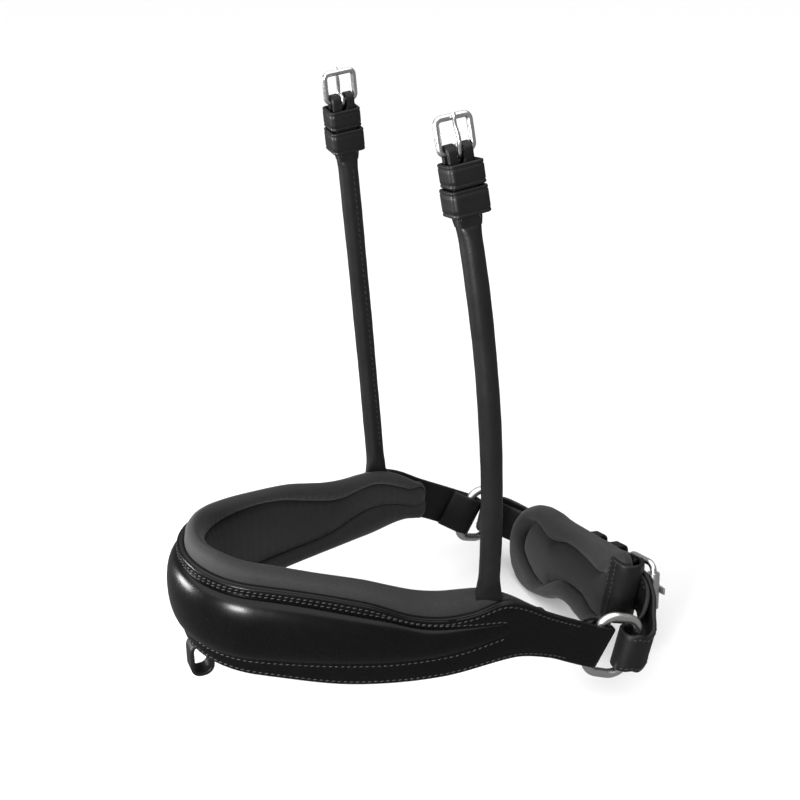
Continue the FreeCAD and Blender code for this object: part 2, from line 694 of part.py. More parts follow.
BEND = 4.6 + crank_t / 2
BEND_FIRST = 4                                       # stations where the turn starts and ends
BEND_LAST = 10
near_bend = turn_round(bar_of_ring["right"], 1, 1.6, BEND)
far_bend = turn_round(bar_of_ring["left"], -1, 1.6, BEND)
inner_y = half_thick + plate_t + 0.1 + crank_t / 2
under_y = inner_y + crank_t + 0.3
over_y = DECK + dim("crank_wire") / 2 + 0.2 + dim("chape_ply") + crank_t / 2 + 0.3
near_route = [on_pad(18, inner_y), on_pad(46, inner_y),
              (V(58.4, 120.3, -1.2), UPRIGHT), (V(64.0, 113.6, -9.4), UPRIGHT)]
near_route += near_bend
near_route += [(V(75.2, 109.6, -13.8), UPRIGHT), (V(72.6, 115.0, -12.4), UPRIGHT),
               (V(66.6, 118.8, -8.6), UPRIGHT), (V(59.6, 122.9, -2.6), UPRIGHT)]
near_route += [on_pad(ROLLER_X, under_y), on_pad(46.0, under_y + 0.4),
               on_pad(40.0, (under_y + over_y) / 2), on_pad(34.0, over_y - 0.3),
               on_pad(28.0, over_y), on_pad(-24.0, over_y)]
near_sections = ribbon_sections(near_route)
near_strap = ribbon("near_strap", near_sections[BEND_LAST:])
hole = box("tongue_hole", (HEEL_X - 2.5, under_y - 3, -2.3), (47.0, over_y + 4, 2.3))
hole.Placement = pad_place * hole.Placement
keep(combine("Part::Cut", "near_crank", near_strap, hole), "crank_strap_right")

far_route = [on_pad(-18, inner_y), on_pad(-46, inner_y),
             (V(-55.0, 119.4, -18.4), UPRIGHT), (V(-62.2, 113.0, -16.4), UPRIGHT)]
far_route += far_bend
far_route += [(V(-75.2, 109.6, -14.6), UPRIGHT), (V(-72.4, 116.0, -16.4), UPRIGHT),
              (V(-64.0, 121.6, -18.2), UPRIGHT), (V(-52.0, 125.2, -18.6), UPRIGHT)]
far_route += [on_pad(-38.0, under_y + 0.6), on_pad(-12.0, DECK), on_pad(22.0, DECK)]
far_sections = ribbon_sections(far_route)
keep(ribbon("far_strap", far_sections[BEND_LAST:]), "crank_strap_left")

# each strap's inner leg and its turn round the ring are lengths of their own
for side_name, sections in (("right", near_sections), ("left", far_sections)):
    keep(ribbon("leg_" + side_name, sections[:BEND_FIRST + 1]), "crank_leg_" + side_name)
    keep(ribbon("turn_" + side_name, sections[BEND_FIRST:BEND_LAST + 1]), "crank_turn_" + side_name)

# chape: folded over the heel bar, the left strap's end sewn inside it
chape_r = dim("crank_wire") / 2 + 0.2
chape = strap("chape", [
    line((2, DECK - chape_r), (HEEL_X, DECK - chape_r)),
    arc((HEEL_X, DECK - chape_r), (HEEL_X + chape_r, DECK), (HEEL_X, DECK + chape_r)),
    line((HEEL_X, DECK + chape_r), (2, DECK + chape_r)),
], "dims.chape_ply", "dims.crank_width")
chape_slot = box("chape_slot", (HEEL_X - 5, DECK - 6, -2.3), (HEEL_X + 6, DECK + 6, 2.3))
keep(combine("Part::Cut", "chape_cut", chape, chape_slot), "crank_chape", pad_place)

half_long = frame_long / 2
half_tall = (dim("crank_frame_width") - dim("crank_wire")) / 2
at_heel = pad_place * Placement(V(HEEL_X, DECK, 0), Rotation())
crank_frame = wire_frame("crank_frame", half_long, half_tall, 4.2, "crank_wire",
                         (half_long, 0.0))
keep(crank_frame, "crank_buckle_frame", at_heel * Placement(V(0, 0, 0), Rotation(V(0, 0, 1), -90)))

roller = doc.addObject("PartDesign::Body", "roller_body")
roller_sketch = body_sketch(roller, "XY_Plane", "roller_rings",
                            [Part.Circle(V(0, 0, 0), V(0, 0, 1), dim("roller_dia") / 2),
                             Part.Circle(V(0, 0, 0), V(0, 0, 1), dim("crank_wire") / 2 + 0.06)])
roller_pad = roller.newObject("PartDesign::Pad", "roller_pad")
roller_pad.Profile = roller_sketch
roller_pad.Midplane = True
roller_pad.setExpression("Length", "dims.roller_length")
at_roller = pad_place * Placement(V(ROLLER_X, DECK, 0), Rotation())
keep(roller, "crank_roller", at_roller)

crank_bar_r = dim("crank_wire") / 2
roller_top = dim("roller_dia") / 2 + 0.15
crank_tongue = doc.addObject("PartDesign::Body", "crank_tongue_body")
crank_prong = [
    line((0, 2.7), (frame_long - 2, roller_top + 1.9)),
    line((frame_long - 2, roller_top + 1.9), (frame_long + 3.4, roller_top + 1.3)),
    arc((frame_long + 3.4, roller_top + 1.3), (frame_long + 4.2, roller_top + 0.6),
        (frame_long + 3.4, roller_top)),
    line((frame_long + 3.4, roller_top), (frame_long - 2, roller_top)),
    line((frame_long - 2, roller_top), (2.7, 0)),
    arc((2.7, 0), (-2.7 * math.sqrt(0.5), -2.7 * math.sqrt(0.5)), (0, 2.7)),
]
crank_eye = Part.Circle(V(0, 0, 0), V(0, 0, 1), crank_bar_r + 0.06)
tongue_sketch = body_sketch(crank_tongue, "XY_Plane", "crank_tongue_sketch",
                            crank_prong + [crank_eye])
tongue_pad = crank_tongue.newObject("PartDesign::Pad", "crank_tongue_pad")
tongue_pad.Profile = tongue_sketch
tongue_pad.Midplane = True
tongue_pad.setExpression("Length", "dims.crank_tongue_width")
keep(crank_tongue, "crank_tongue", at_heel)

keeper_low = DECK - dim("crank_wire") / 2 - 0.2 - dim("chape_ply") - 0.25
keeper_high = over_y + crank_t / 2 + 0.35
for kind, centre_x in (("fixed", 13.0), ("running", -6.0)):
    keeper = loop("crank_%s_loop" % kind, (keeper_high - keeper_low) / 2, crank_w / 2 + 0.6,
                  1.2, "crank_keeper_wall", "crank_keeper_width")
    middle = V(centre_x, (keeper_high + keeper_low) / 2, 0)
    keep(keeper, "crank_%s_keeper" % kind,
         pad_place * Placement(middle, Rotation(V(1, 1, 1), 120)))

# ------------------------------------------------------------ check and write
doc.recompute()
failed = [item.Name for item in doc.Objects
          if "Invalid" in item.State or "Error" in item.State]
for node, feature in nodes.items():
    if feature.Shape.isNull() or not feature.Shape.isValid() or not feature.Shape.Solids:
        failed.append(node)
if failed:
    raise RuntimeError("these objects failed: " + ", ".join(failed))

os.makedirs("parts", exist_ok=True)
for node, feature in nodes.items():
    feature.Shape.exportStep("parts/%s.step" % node)
    print("%-28s %2d solid %9.1f mm3" % (node, len(feature.Shape.Solids), feature.Shape.Volume))
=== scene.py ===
import math
import random

import bmesh
import bpy
from mathutils import Matrix, Vector


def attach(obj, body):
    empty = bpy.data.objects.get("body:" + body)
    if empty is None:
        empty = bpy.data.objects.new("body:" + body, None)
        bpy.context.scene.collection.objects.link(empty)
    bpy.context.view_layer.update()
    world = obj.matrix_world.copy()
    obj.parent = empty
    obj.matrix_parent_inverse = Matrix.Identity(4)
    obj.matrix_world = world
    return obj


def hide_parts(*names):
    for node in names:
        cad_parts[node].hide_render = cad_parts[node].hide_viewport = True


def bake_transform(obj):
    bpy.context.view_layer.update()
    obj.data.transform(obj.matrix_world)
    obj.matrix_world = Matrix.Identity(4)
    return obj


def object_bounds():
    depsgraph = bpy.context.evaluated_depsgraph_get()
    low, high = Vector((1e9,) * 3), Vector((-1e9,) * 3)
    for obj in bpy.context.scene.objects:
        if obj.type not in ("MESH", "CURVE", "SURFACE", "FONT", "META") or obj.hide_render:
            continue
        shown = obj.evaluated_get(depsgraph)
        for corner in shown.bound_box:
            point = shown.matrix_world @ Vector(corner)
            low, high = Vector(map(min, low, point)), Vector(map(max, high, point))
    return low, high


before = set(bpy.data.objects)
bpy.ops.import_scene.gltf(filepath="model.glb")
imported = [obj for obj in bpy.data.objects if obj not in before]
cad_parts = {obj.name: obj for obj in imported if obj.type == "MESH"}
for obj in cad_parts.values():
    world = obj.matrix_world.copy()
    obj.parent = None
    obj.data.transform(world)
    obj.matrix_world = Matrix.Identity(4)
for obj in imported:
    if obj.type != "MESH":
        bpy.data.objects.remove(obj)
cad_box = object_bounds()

# ------------------------------------------------------------- backing strap
# The backing is a shaped bridle leather strap, 2.6 mm thick, bent round the nose.
# Each end is folded back round a ring's bar and sewn down. Sizes are in millimetres.
MM = 0.001
JOIN = 0.002
NOSE_RADIUS = 40.0
NOSE_HALF = math.radians(63.0)
SIDE_RADIUS = 330.0
NOSE_FRONT = 90.3
SQUARE = math.pi / 2
BACKING = 2.6
TOP_EDGE = [(-90, 50.4), (-52, 45.0), (-24, 38.0), (-6, 30.2), (8, 27.2), (22, 27.9),
            (36, 31.6), (46, 28.6), (60, 20.2), (80.6, 9.18), (91.2, 3.5)]
LOW_EDGE = [(-90, 5.0), (-62, 1.0), (-30, -3.6), (8, -3.6), (36, 0.4), (46, 0.4),
            (60, -4.2), (70.6, -9.8), (81.2, -15.4)]
SIDE_RUN = 198.74
LEAN_FROM = 140.0
LEAN = 10.0
WALL_X = 71.61
BAR_X = 66.31
FOLD_MID = Vector((0, 86.2, -5.95))
ALONG = Vector((0, 0.883, -0.469))
ACROSS = Vector((0, 0.469, 0.883))
STRAP_END = 21.4
FOLD_RADIUS = 4.0


def ease(x):
    """A soft step from 0 to 1."""
    x = min(max(x, 0.0), 1.0)
    return x * x * (3 - 2 * x)


def smooth(points, x):
    """Height at x of a smooth line through (x, height) points, level beyond its ends."""
    x = min(max(x, points[0][0]), points[-1][0])
    last = len(points) - 1
    at = max(n for n in range(last) if n == 0 or points[n][0] <= x)

    def slope(n):
        (x0, y0), (x1, y1) = points[max(n - 1, 0)], points[min(n + 1, last)]
        return (y1 - y0) / (x1 - x0)

    (x0, y0), (x1, y1) = points[at], points[at + 1]
    step = x1 - x0
    t = (x - x0) / step
    return (y0 * (1 + 2 * t) * (1 - t) ** 2 + y1 * t * t * (3 - 2 * t)
            + step * (slope(at) * t * (1 - t) ** 2 - slope(at + 1) * t * t * (1 - t)))


def plan(run, out=0.0):
    """Point and outward direction at a run along the band, left negative, and out from it."""
    side = 1 if run >= 0 else -1
    bend = NOSE_RADIUS * NOSE_HALF
    shift = SIDE_RADIUS - NOSE_RADIUS
    centre_x = 0.0
    centre_y = NOSE_RADIUS - NOSE_FRONT
    radius = NOSE_RADIUS
    angle = abs(run) / NOSE_RADIUS
    if abs(run) > bend:
        centre_x -= shift * math.sin(NOSE_HALF)
        centre_y += shift * math.cos(NOSE_HALF)
        radius = SIDE_RADIUS
        angle = NOSE_HALF + (abs(run) - bend) / SIDE_RADIUS
    straight = max(angle - SQUARE, 0.0) * SIDE_RADIUS
    angle = min(angle, SQUARE)
    reach = radius + out
    point = Vector((side * (centre_x + reach * math.sin(angle)),
                    centre_y - reach * math.cos(angle) + straight, 0))
    return point, Vector((side * math.sin(angle), -math.cos(angle), 0))


def band_ends(share):
    """Low point, top point and outward direction of the band, from -1 left to 1 right."""
    run = abs(share) * SIDE_RUN
    lean = LEAN * ease((run - LEAN_FROM) / (SIDE_RUN - LEAN_FROM))
    side = 1 if share >= 0 else -1
    top, normal = plan(side * run)
    low = plan(side * (run - lean))[0]
    top.z = smooth(TOP_EDGE, top.y)
    low.z = smooth(LOW_EDGE, low.y)
    return low, top, normal


def lay_grid(columns, rows, place):
    """A grid laid on place(column, row), with its seams and poles closed."""
    bm = bmesh.new()
    bmesh.ops.create_grid(bm, x_segments=columns, y_segments=rows, size=0.5)
    for vert in bm.verts:
        vert.co = place(round((vert.co.x + 0.5) * columns), round((vert.co.y + 0.5) * rows))
    bmesh.ops.remove_doubles(bm, verts=bm.verts, dist=JOIN)
    return bm


def sweep(stations, sections):
    """A closed section for each station, carried on its (centre, across, out)."""
    rows = len(sections[0])

    def place(column, row):
        centre, across, out = stations[column]
        a, o = sections[column][row % rows]
        return centre + across * a + out * o

    return lay_grid(len(stations) - 1, rows, place)


EDGE_TURNS = [math.radians(degrees) for degrees in (25, 50, 75, 105, 130, 155)]
FACE_MARKS = 8
CREASE_HALF = 0.45
CREASE_FLOOR = 0.2
CREASE_DEEP = 0.22


def strap_section(width, thick, soften=0.9, crease=0.0):
    """Closed outline of a strap cut across, as (across, out), with burnished edges."""
    half_w = width / 2
    half_t = thick / 2
    flat = half_w - soften
    marks = [(-flat + 2 * flat * n / FACE_MARKS, half_t) for n in range(FACE_MARKS + 1)]
    if crease:
        dip = half_w - crease
        edge = [(-flat, 0), (-dip - CREASE_HALF, 0), (-dip - CREASE_FLOOR, -CREASE_DEEP),
                (-dip + CREASE_FLOOR, -CREASE_DEEP), (-dip + CREASE_HALF, 0)]
        middle = [(a / 3 * dip * 0.7, 0) for a in (-2, 0, 2)]
        marks = [(a, half_t + sink) for a, sink in edge + middle]
        marks += [(-a, half_t + sink) for a, sink in reversed(edge)]
    bend = [(flat + soften * math.sin(turn), half_t * math.cos(turn)) for turn in EDGE_TURNS]
    back = [(a, -half_t) for a, o in reversed(marks) if o >= half_t]
    return marks + bend + back + [(-a, -o) for a, o in bend]


def finish_piece(bm, name, body, material, replaced=(), sharp=42.0):
    """Close the mesh, bring it to metres and put it on its body."""
    rims = [edge for edge in bm.edges if edge.is_boundary]
    if rims:
        bmesh.ops.holes_fill(bm, edges=rims, sides=0)
    bmesh.ops.recalc_face_normals(bm, faces=bm.faces)
    bmesh.ops.scale(bm, vec=(MM, MM, MM), verts=bm.verts)
    mesh = bpy.data.meshes.new(name)
    bm.to_mesh(mesh)
    bm.free()
    mesh.shade_smooth()
    mesh.set_sharp_from_angle(angle=math.radians(sharp))
    mesh.materials.append(material)
    piece = bpy.data.objects.new(name, mesh)
    bpy.context.collection.objects.link(piece)
    if body:
        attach(piece, body)
    if replaced:
        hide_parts(*replaced)
    return piece


class Shade:
    """A shader socket that takes part in sums: each sign adds a Math node."""

    def __init__(self, tree, socket=None):
        self.tree = tree
        self.socket = socket

    def make(self, kind, settings, sockets, output=0):
        """Any node: its settings come first, then its sockets' values or links."""
        node = self.tree.nodes.new(kind)
        for key, value in settings.items():
            setattr(node, key, value)
        for key, value in sockets.items():
            if isinstance(value, Shade):
                self.tree.links.new(value.socket, node.inputs[key])
            else:
                node.inputs[key].default_value = value
        return Shade(self.tree, node.outputs[output])

    def maths(self, operation, first, second):
        return self.make("ShaderNodeMath", {"operation": operation}, {0: first, 1: second})

    def __add__(self, other):
        return self.maths("ADD", self, other)

    def __radd__(self, other):
        return self.maths("ADD", other, self)

    def __mul__(self, other):
        return self.maths("MULTIPLY", self, other)

    def __rmul__(self, other):
        return self.maths("MULTIPLY", other, self)

    def blend(self, first, second):
        """This value fades one colour into the other, by a Mix node's colour sockets."""
        return self.make("ShaderNodeMix", {"data_type": "RGBA"}, {0: self, 6: first, 7: second}, 2)

    def noise(self, place, scale, detail=3.0, roughness=0.55):
        return self.make("ShaderNodeTexNoise", {}, {
            "Vector": place, "Scale": scale, "Detail": detail, "Roughness": roughness})

    def cells(self, place, scale):
        return self.make("ShaderNodeTexVoronoi", {}, {"Vector": place, "Scale": scale})


OBJECT_OUTPUT = 3


def new_material(name, constants):
    """A Principled material with its fixed numbers set on the shader itself."""
    material = bpy.data.materials.new(name)
    material.use_nodes = True
    tree = material.node_tree
    shader = tree.nodes["Principled BSDF"]
    for key, value in constants.items():
        shader.inputs[key].default_value = value
    start = Shade(tree)
    place = start.make("ShaderNodeTexCoord", {}, {}, OBJECT_OUTPUT)
    return material, shader, start, place


def dress(shader, start, colour, roughness, height, depth, strength=0.6):
    """Feed colour, roughness and relief to the shader."""
    tree = start.tree
    tree.links.new(colour.socket, shader.inputs["Base Color"])
    tree.links.new(roughness.socket, shader.inputs["Roughness"])
    bump = start.make("ShaderNodeBump", {}, {"Strength": strength, "Distance": depth, "Height": height})
    tree.links.new(bump.socket, shader.inputs["Normal"])


def leather(name, dark, light, rough, pore_scale, pore_depth, level, coat=0.0):
    """Black leather: fine pores over a broad, uneven dye, with a worn sheen."""
    material, shader, start, place = new_material(name, {
        "Specular IOR Level": level, "Coat Weight": coat, "Coat Roughness": 0.12})
    dye = start.noise(place, 45.0, 4.0)
    pores = start.noise(place, pore_scale, 5.0, 0.62)
    cells = start.cells(place, pore_scale * 0.9)
    scuff = start.noise(place, 220.0, 6.0, 0.7)
    colour = (dye * 0.55 + scuff * 0.45).blend(dark, light)
    roughness = rough - 0.09 + 0.12 * scuff + 0.08 * dye
    dress(shader, start, colour, roughness, pores * 0.6 + cells * 0.5, pore_depth)
    return material


def grey(value):
    return (value, value * 0.99, value * 0.975, 1.0)


strap_leather = leather("strap_leather", grey(0.003), grey(0.011), 0.40, 1500.0, 0.00010, 0.30)
OUTER_PLY = (-9.0, -6.0, -3.0, 0.0)
INNER_PLY = ((0.0, 0.25), (0.2, 0.5), (0.45, 0.5), (0.7, 0.5), (0.92, 0.4), (1.0, 0.2))
PLY_SHIFT = 5.4
PLY_BACK = 10.0
FOLD_STEPS = 16


def fold_point(side, x, down):
    """A point in the fold, at x from the middle of the nose and down along the band."""
    centre = FOLD_MID + ALONG * down
    centre.x = side * x
    return centre


def fold_stations(side):
    """Round the ring's bar, from the outer ply to the end of the inner ply."""
    steps = [(WALL_X - BACKING / 2, down, 1.0, 0.0) for down in OUTER_PLY]
    for step in range(FOLD_STEPS + 1):
        turn = math.pi * step / FOLD_STEPS
        steps.append((BAR_X + FOLD_RADIUS * math.cos(turn), 2 + FOLD_RADIUS * math.sin(turn),
                      math.cos(turn), math.sin(turn)))
    steps.append((BAR_X - FOLD_RADIUS, 0.0, -1.0, 0.0))
    for share, tilt in INNER_PLY:
        steps.append((BAR_X - FOLD_RADIUS + PLY_SHIFT * share, -2 - PLY_BACK * share,
                      -math.cos(tilt), -math.sin(tilt)))
    stations = []
    for x, down, out_x, out_down in steps:
        out = ALONG * out_down
        out.x = side * out_x
        stations.append((fold_point(side, x, down), ACROSS, out.normalized()))
    return stations


BAND_COLUMNS = 300
backing_stations = list(reversed(fold_stations(-1)))
backing_widths = [STRAP_END] * len(backing_stations)
for column in range(BAND_COLUMNS + 1):
    low, top, normal = band_ends(2 * column / BAND_COLUMNS - 1)
    rise = top - low
    backing_stations.append(((low + top) / 2 - normal * BACKING / 2, rise.normalized(), normal))
    backing_widths.append(rise.length)
backing_stations += fold_stations(1)
backing_widths += [STRAP_END] * (len(backing_stations) - len(backing_widths))
backing = sweep(backing_stations, [strap_section(width, BACKING) for width in backing_widths])
finish_piece(backing, "backing_strap", "noseband", strap_leather, ["noseband_backing"])

# ------------------------------------------------------------- raised front
# A glossy bridle leather skin is moulded over a firm roll and sewn to the backing
# above and below it. The roll is fullest over the nose and fades out by the cheeks.
ROLL_TOP = [(-90, 45.2), (-53, 40.0), (-19, 31.0), (0, 24.4), (17, 22.0), (34, 20.6)]
ROLL_LOW = [(-90, 12.6), (-54, 9.8), (-19, 7.7), (0, 8.0), (17, 9.6), (34, 13.6)]
ROLL_TIP = 38.2
ROLL_RISE = 5.9
ROLL_STEPS = 26
FULL_HALF = 16.0
TIP_FADE = 0.72
SKIN = 0.9
SKIN_END = 0.22
SKIN_UNDER = 0.35
FOLD_COVER = 20
ROLL_CLOSES = 34.0
GROOVE_DEEP = 0.3
GROOVE_IN = 0.45
GROOVE_OUT = 1.2

front_leather = leather("front_leather", grey(0.0010), grey(0.0030), 0.26, 2400.0, 0.00003, 0.24,
                        coat=0.05)


def roll_span(share):
    """Middle, half width and fullness of the roll across the band, and the skin's own thickness."""
    low, top, normal = band_ends(share)
    half = (top - low).length / 2
    y = (low.y + top.y) / 2
    mid_z = (low.z + top.z) / 2
    lift = (smooth(ROLL_TOP, y) + smooth(ROLL_LOW, y)) / 2
    wide = (smooth(ROLL_TOP, y) - smooth(ROLL_LOW, y)) / 2
    past = (y - ROLL_CLOSES) / (ROLL_TIP - ROLL_CLOSES)
    if past > 0:
        wide *= math.sqrt(max(1 - past * past, 0.0))
    middle = (lift - mid_z) * (1 - ease((y - ROLL_TIP) / 30.0))
    skin = SKIN_END + (SKIN - SKIN_END) * (1 - ease((abs(share) * SIDE_RUN - 165.0) / 30.0))
    return middle, wide, half, skin


def front_section(share):
    """The skin cut across: a flat edge, a groove and the roll between two grooves."""
    middle, wide, half, skin = roll_span(share)
    fade = 1 - TIP_FADE * ease((abs(share) * SIDE_RUN - 118.0) / 38.0)
    rise = ROLL_RISE * fade * (wide / FULL_HALF) ** 0.6
    reach = max(wide, 0.8)
    groove = GROOVE_DEEP * min(wide / 4.0, 1.0)
    outer = [(-half + 0.35, 0.0), (-half + 0.45, skin * 0.7), (-half + 0.9, skin)]
    outer += [((-half + 0.9 + middle - reach - GROOVE_OUT) / 2, skin),
              (middle - reach - GROOVE_OUT, skin), (middle - reach - GROOVE_IN, skin - groove)]
    for step in range(ROLL_STEPS + 1):
        turn = math.pi * step / ROLL_STEPS
        q = -math.cos(turn)
        outer.append((middle + reach * q, skin - groove * 0.6 + rise * (1 - abs(q) ** 2.3) ** 0.52))
    outer += [(middle + reach + GROOVE_IN, skin - groove), (middle + reach + GROOVE_OUT, skin),
              ((half - 0.9 + middle + reach + GROOVE_OUT) / 2, skin),
              (half - 0.9, skin), (half - 0.45, skin * 0.7), (half - 0.35, 0.0)]
    under = [(half - 0.35 - (2 * half - 0.7) * n / 6, -SKIN_UNDER) for n in range(7)]
    return outer + under


front_stations = []
front_sections = []
for column in range(BAND_COLUMNS + 1):
    share = 2 * column / BAND_COLUMNS - 1
    low, top, normal = band_ends(share)
    front_stations.append(((low + top) / 2, (top - low).normalized(), normal))
    front_sections.append(front_section(share))

# The skin is carried on round both end folds, over the backing.
fold_covers = [[(centre + out * BACKING / 2, across, out)
                for centre, across, out in fold_stations(side)[:FOLD_COVER]] for side in (-1, 1)]
front = sweep(list(reversed(fold_covers[0])) + front_stations + fold_covers[1],
              [front_sections[0]] * FOLD_COVER + front_sections + [front_sections[-1]] * FOLD_COVER)
finish_piece(front, "front_skin", "noseband", front_leather,
             ["raised_front", "front_core"], 50.0)

# ---------------------------------------------------------- front stitching
# The skin is saddle sewn in waxed black thread along the band's edges and close beside
# the roll. Each stitch is short and fat, and lies in a slant.
STITCH = (1.15, 0.36, 0.33)
PITCH = 2.7
SLANT = 0.22
EDGE_ROW = (2.1, 0.985)
ROLL_ROW = (1.5, 0.785)
material, shader, start, place = new_material("waxed_thread", {"Specular IOR Level": 0.5})
strands = start.noise(place, 5200.0, 2.0)
dress(shader, start, strands.blend(grey(0.008), grey(0.030)), 0.34 + 0.12 * strands, strands, 0.0001)
thread = material

stitch_bm = bmesh.new()
bmesh.ops.create_uvsphere(stitch_bm, u_segments=6, v_segments=4, radius=1.0)
bmesh.ops.scale(stitch_bm, vec=STITCH, verts=stitch_bm.verts)
stitch_mesh = bpy.data.meshes.new("one_stitch")
stitch_bm.to_mesh(stitch_mesh)
stitch_bm.free()


def sew(bm, row, pitch=PITCH, size=1.0, slant=SLANT):
    """Stitches along a row of (point, out) pairs."""
    due = pitch / 2
    for (point, out), (after, unused) in zip(row, row[1:]):
        along = after - point
        length = along.length
        while length > 0 and due <= length:
            spot = point + along * (due / length)
            ahead = along.normalized()
            beside = out.cross(ahead).normalized()
            lay = (ahead + beside * (slant + 0.05 * random.uniform(-1, 1))).normalized()
            frame_out = lay.cross(out.cross(lay).normalized())
            turn = Matrix((lay, out.cross(lay).normalized(), frame_out)).transposed().to_4x4()
            known = len(bm.verts)
            bm.from_mesh(stitch_mesh)
            bm.verts.ensure_lookup_table()
            fresh = bm.verts[known:]
            bmesh.ops.transform(bm, matrix=Matrix.Translation(spot) @ turn @ Matrix.Scale(size, 4),
                                verts=fresh)
            due += pitch
        due -= length


def finish_stitches(bm, name, body):
    return finish_piece(bm, name, body, thread, (), 80.0)


random.seed(7)


def front_row(sign, by_roll):
    """A row close beside the roll, or one along the band's edge."""
    offset, limit = ROLL_ROW if by_roll else EDGE_ROW
    row = []
    for column in range(BAND_COLUMNS + 1):
        share = 2 * column / BAND_COLUMNS - 1
        middle, wide, half, skin = roll_span(share)
        if abs(share) > limit:
            continue
        centre, across, out = front_stations[column]
        a = middle + sign * (wide + offset) if by_roll else sign * (half - offset)
        row.append((centre + across * a + out * (skin + 0.05), out))
    return row


band_stitches = bmesh.new()
for sign in (1, -1):
    sew(band_stitches, front_row(sign, False))
    sew(band_stitches, front_row(sign, True))
finish_stitches(band_stitches, "band_stitches", "noseband")

# ------------------------------------------------------------- nose padding
# The lining is soft matt nappa over foam, sewn in after the leather. A thick roll runs
# along its upper and lower edges, with a puckered seam between each and the flat field.
PAD_TOP = [(-84, 57.2), (-76, 55.8), (-62, 53.6), (-46, 50.2), (-25, 45.8), (-14, 42.3), (-3, 38.9),
           (8, 37.0), (19, 36.4), (30, 35.2), (42, 30.2), (56, 20.8)]
PAD_LOW = [(-80, 3.2), (-40, 0.8), (-10, -0.6), (20, -0.8), (45, 0.6), (60, -2.6)]
SEAM_TOP = [(-90, 44.0), (-75, 45.0), (-62, 45.6), (-48, 44.2), (-33, 40.4), (-18, 34.3), (-3, 28.7),
            (6, 27.4), (15, 28.6), (25, 29.4), (34, 26.6), (50, 18.6)]
SEAM_LOW = [(-90, 12.0), (-45, 9.3), (-28, 8.2), (-13, 7.6), (-1, 8.4), (9, 11.2), (18, 13.8),
            (28, 14.6), (40, 11.8), (52, 6.4)]
PAD_TIP = (61.5, 8.5)
PAD_TAPER = 56.5
PAD_DEEP = 8.8
PAD_RUN = 179.6
PAD_COLUMNS = 420
PAD_CREASE = 1.5
PAD_EDGE_TURNS = [math.radians(degrees) for degrees in (20, 40, 58, 74, 86)]
FIELD_STEPS = 9
CLOSE_FROM = 0.9

material, shader, start, place = new_material("nappa", {
    "Specular IOR Level": 0.22, "Sheen Weight": 0.12, "Sheen Roughness": 0.5})
bloom = start.noise(place, 38.0, 4.0)
pebble = start.cells(place, 1150.0)
wrinkle = start.noise(place, 130.0, 5.0, 0.6)
fine = start.noise(place, 2600.0, 3.0)
dress(shader, start, (bloom * 0.6 + pebble * 0.4).blend(grey(0.010), grey(0.027)),
      0.60 + 0.14 * bloom, pebble * 0.5 + fine * 0.3 + wrinkle * 1.4, 0.00016, 0.55)
nappa = material


def pad_section(y, run):
    """Closed outline of the padding as (height, depth in from the leather)."""
    past = min(max((y - PAD_TAPER) / (PAD_TIP[0] - PAD_TAPER), 0.0), 1.0)
    shrink = math.sqrt(max(1 - past * past, 0.0))
    top = PAD_TIP[1] + (smooth(PAD_TOP, y) - PAD_TIP[1]) * shrink
    low = PAD_TIP[1] + (smooth(PAD_LOW, y) - PAD_TIP[1]) * shrink
    deep = PAD_DEEP * (0.12 + 0.88 * shrink ** 0.8) * (1 - 0.4 * ease((y - 22.0) / 34.0))
    seam_top = PAD_TIP[1] + (smooth(SEAM_TOP, y) - PAD_TIP[1]) * shrink
    seam_low = PAD_TIP[1] + (smooth(SEAM_LOW, y) - PAD_TIP[1]) * shrink
    upper = top - seam_top
    lower = seam_low - low
    pucker = 0.13 * math.sin(run * 1.32 + 1.1 * math.sin(run * 0.31)) * shrink
    groove = deep * (0.50 + 0.02 * pucker)
    points = []
    for step in range(7):
        turn = math.radians(180 + 30 * step)
        points.append((low + lower / 2 * (1 + math.sin(turn)), deep / 2 * (1 + math.cos(turn))))
    for turn in PAD_EDGE_TURNS:
        points.append((low + lower / 2 * (1 + math.sin(turn)),
                       groove + (deep - groove + pucker) * math.cos(turn)))
    points.append((seam_low + 0.1, groove - PAD_CREASE))
    for step in range(FIELD_STEPS):
        q = (step + 0.25) / 8.5
        points.append((seam_low + (seam_top - seam_low) * q,
                       groove + (deep * 0.27 + pucker * (1 - math.sin(math.pi * q)))
                       * math.sin(math.pi * min(max(q, 0.02), 0.98)) ** 0.55))
    points.append((seam_top - 0.1, groove - PAD_CREASE))
    for turn in (-turn for turn in reversed(PAD_EDGE_TURNS)):
        points.append((top - upper / 2 * (1 - math.sin(turn)),
                       groove + (deep - groove + pucker) * math.cos(turn)))
    for step in range(7):
        turn = math.radians(30 * step)
        points.append((top - upper / 2 * (1 - math.sin(turn)), deep / 2 * (1 + math.cos(turn))))
    for step in range(1, 4):
        points.append((top - upper / 2 + (low + lower / 2 - top + upper / 2) * step / 4, 0.0))
    return points


def pad_place(column, row):
    """A point on the padding; its columns close up towards both tips."""
    even = 2 * column / PAD_COLUMNS - 1
    run = PAD_RUN * (even if abs(even) < CLOSE_FROM else math.copysign(
        0.9 + 0.1 * math.sin((abs(even) - 0.9) / 0.1 * SQUARE), even))
    y = plan(run)[0].y
    points = pad_section(y, run)
    height, depth = points[row % len(points)]
    point = plan(run, -BACKING - depth)[0]
    point.z = height
    return point


pad_rows = len(pad_section(0.0, 0.0))
nose_pad = finish_piece(lay_grid(PAD_COLUMNS, pad_rows, pad_place), "nose_padding", "noseband",
                        nappa, ["nose_pad_cover", "nose_pad_foam"], 70.0)

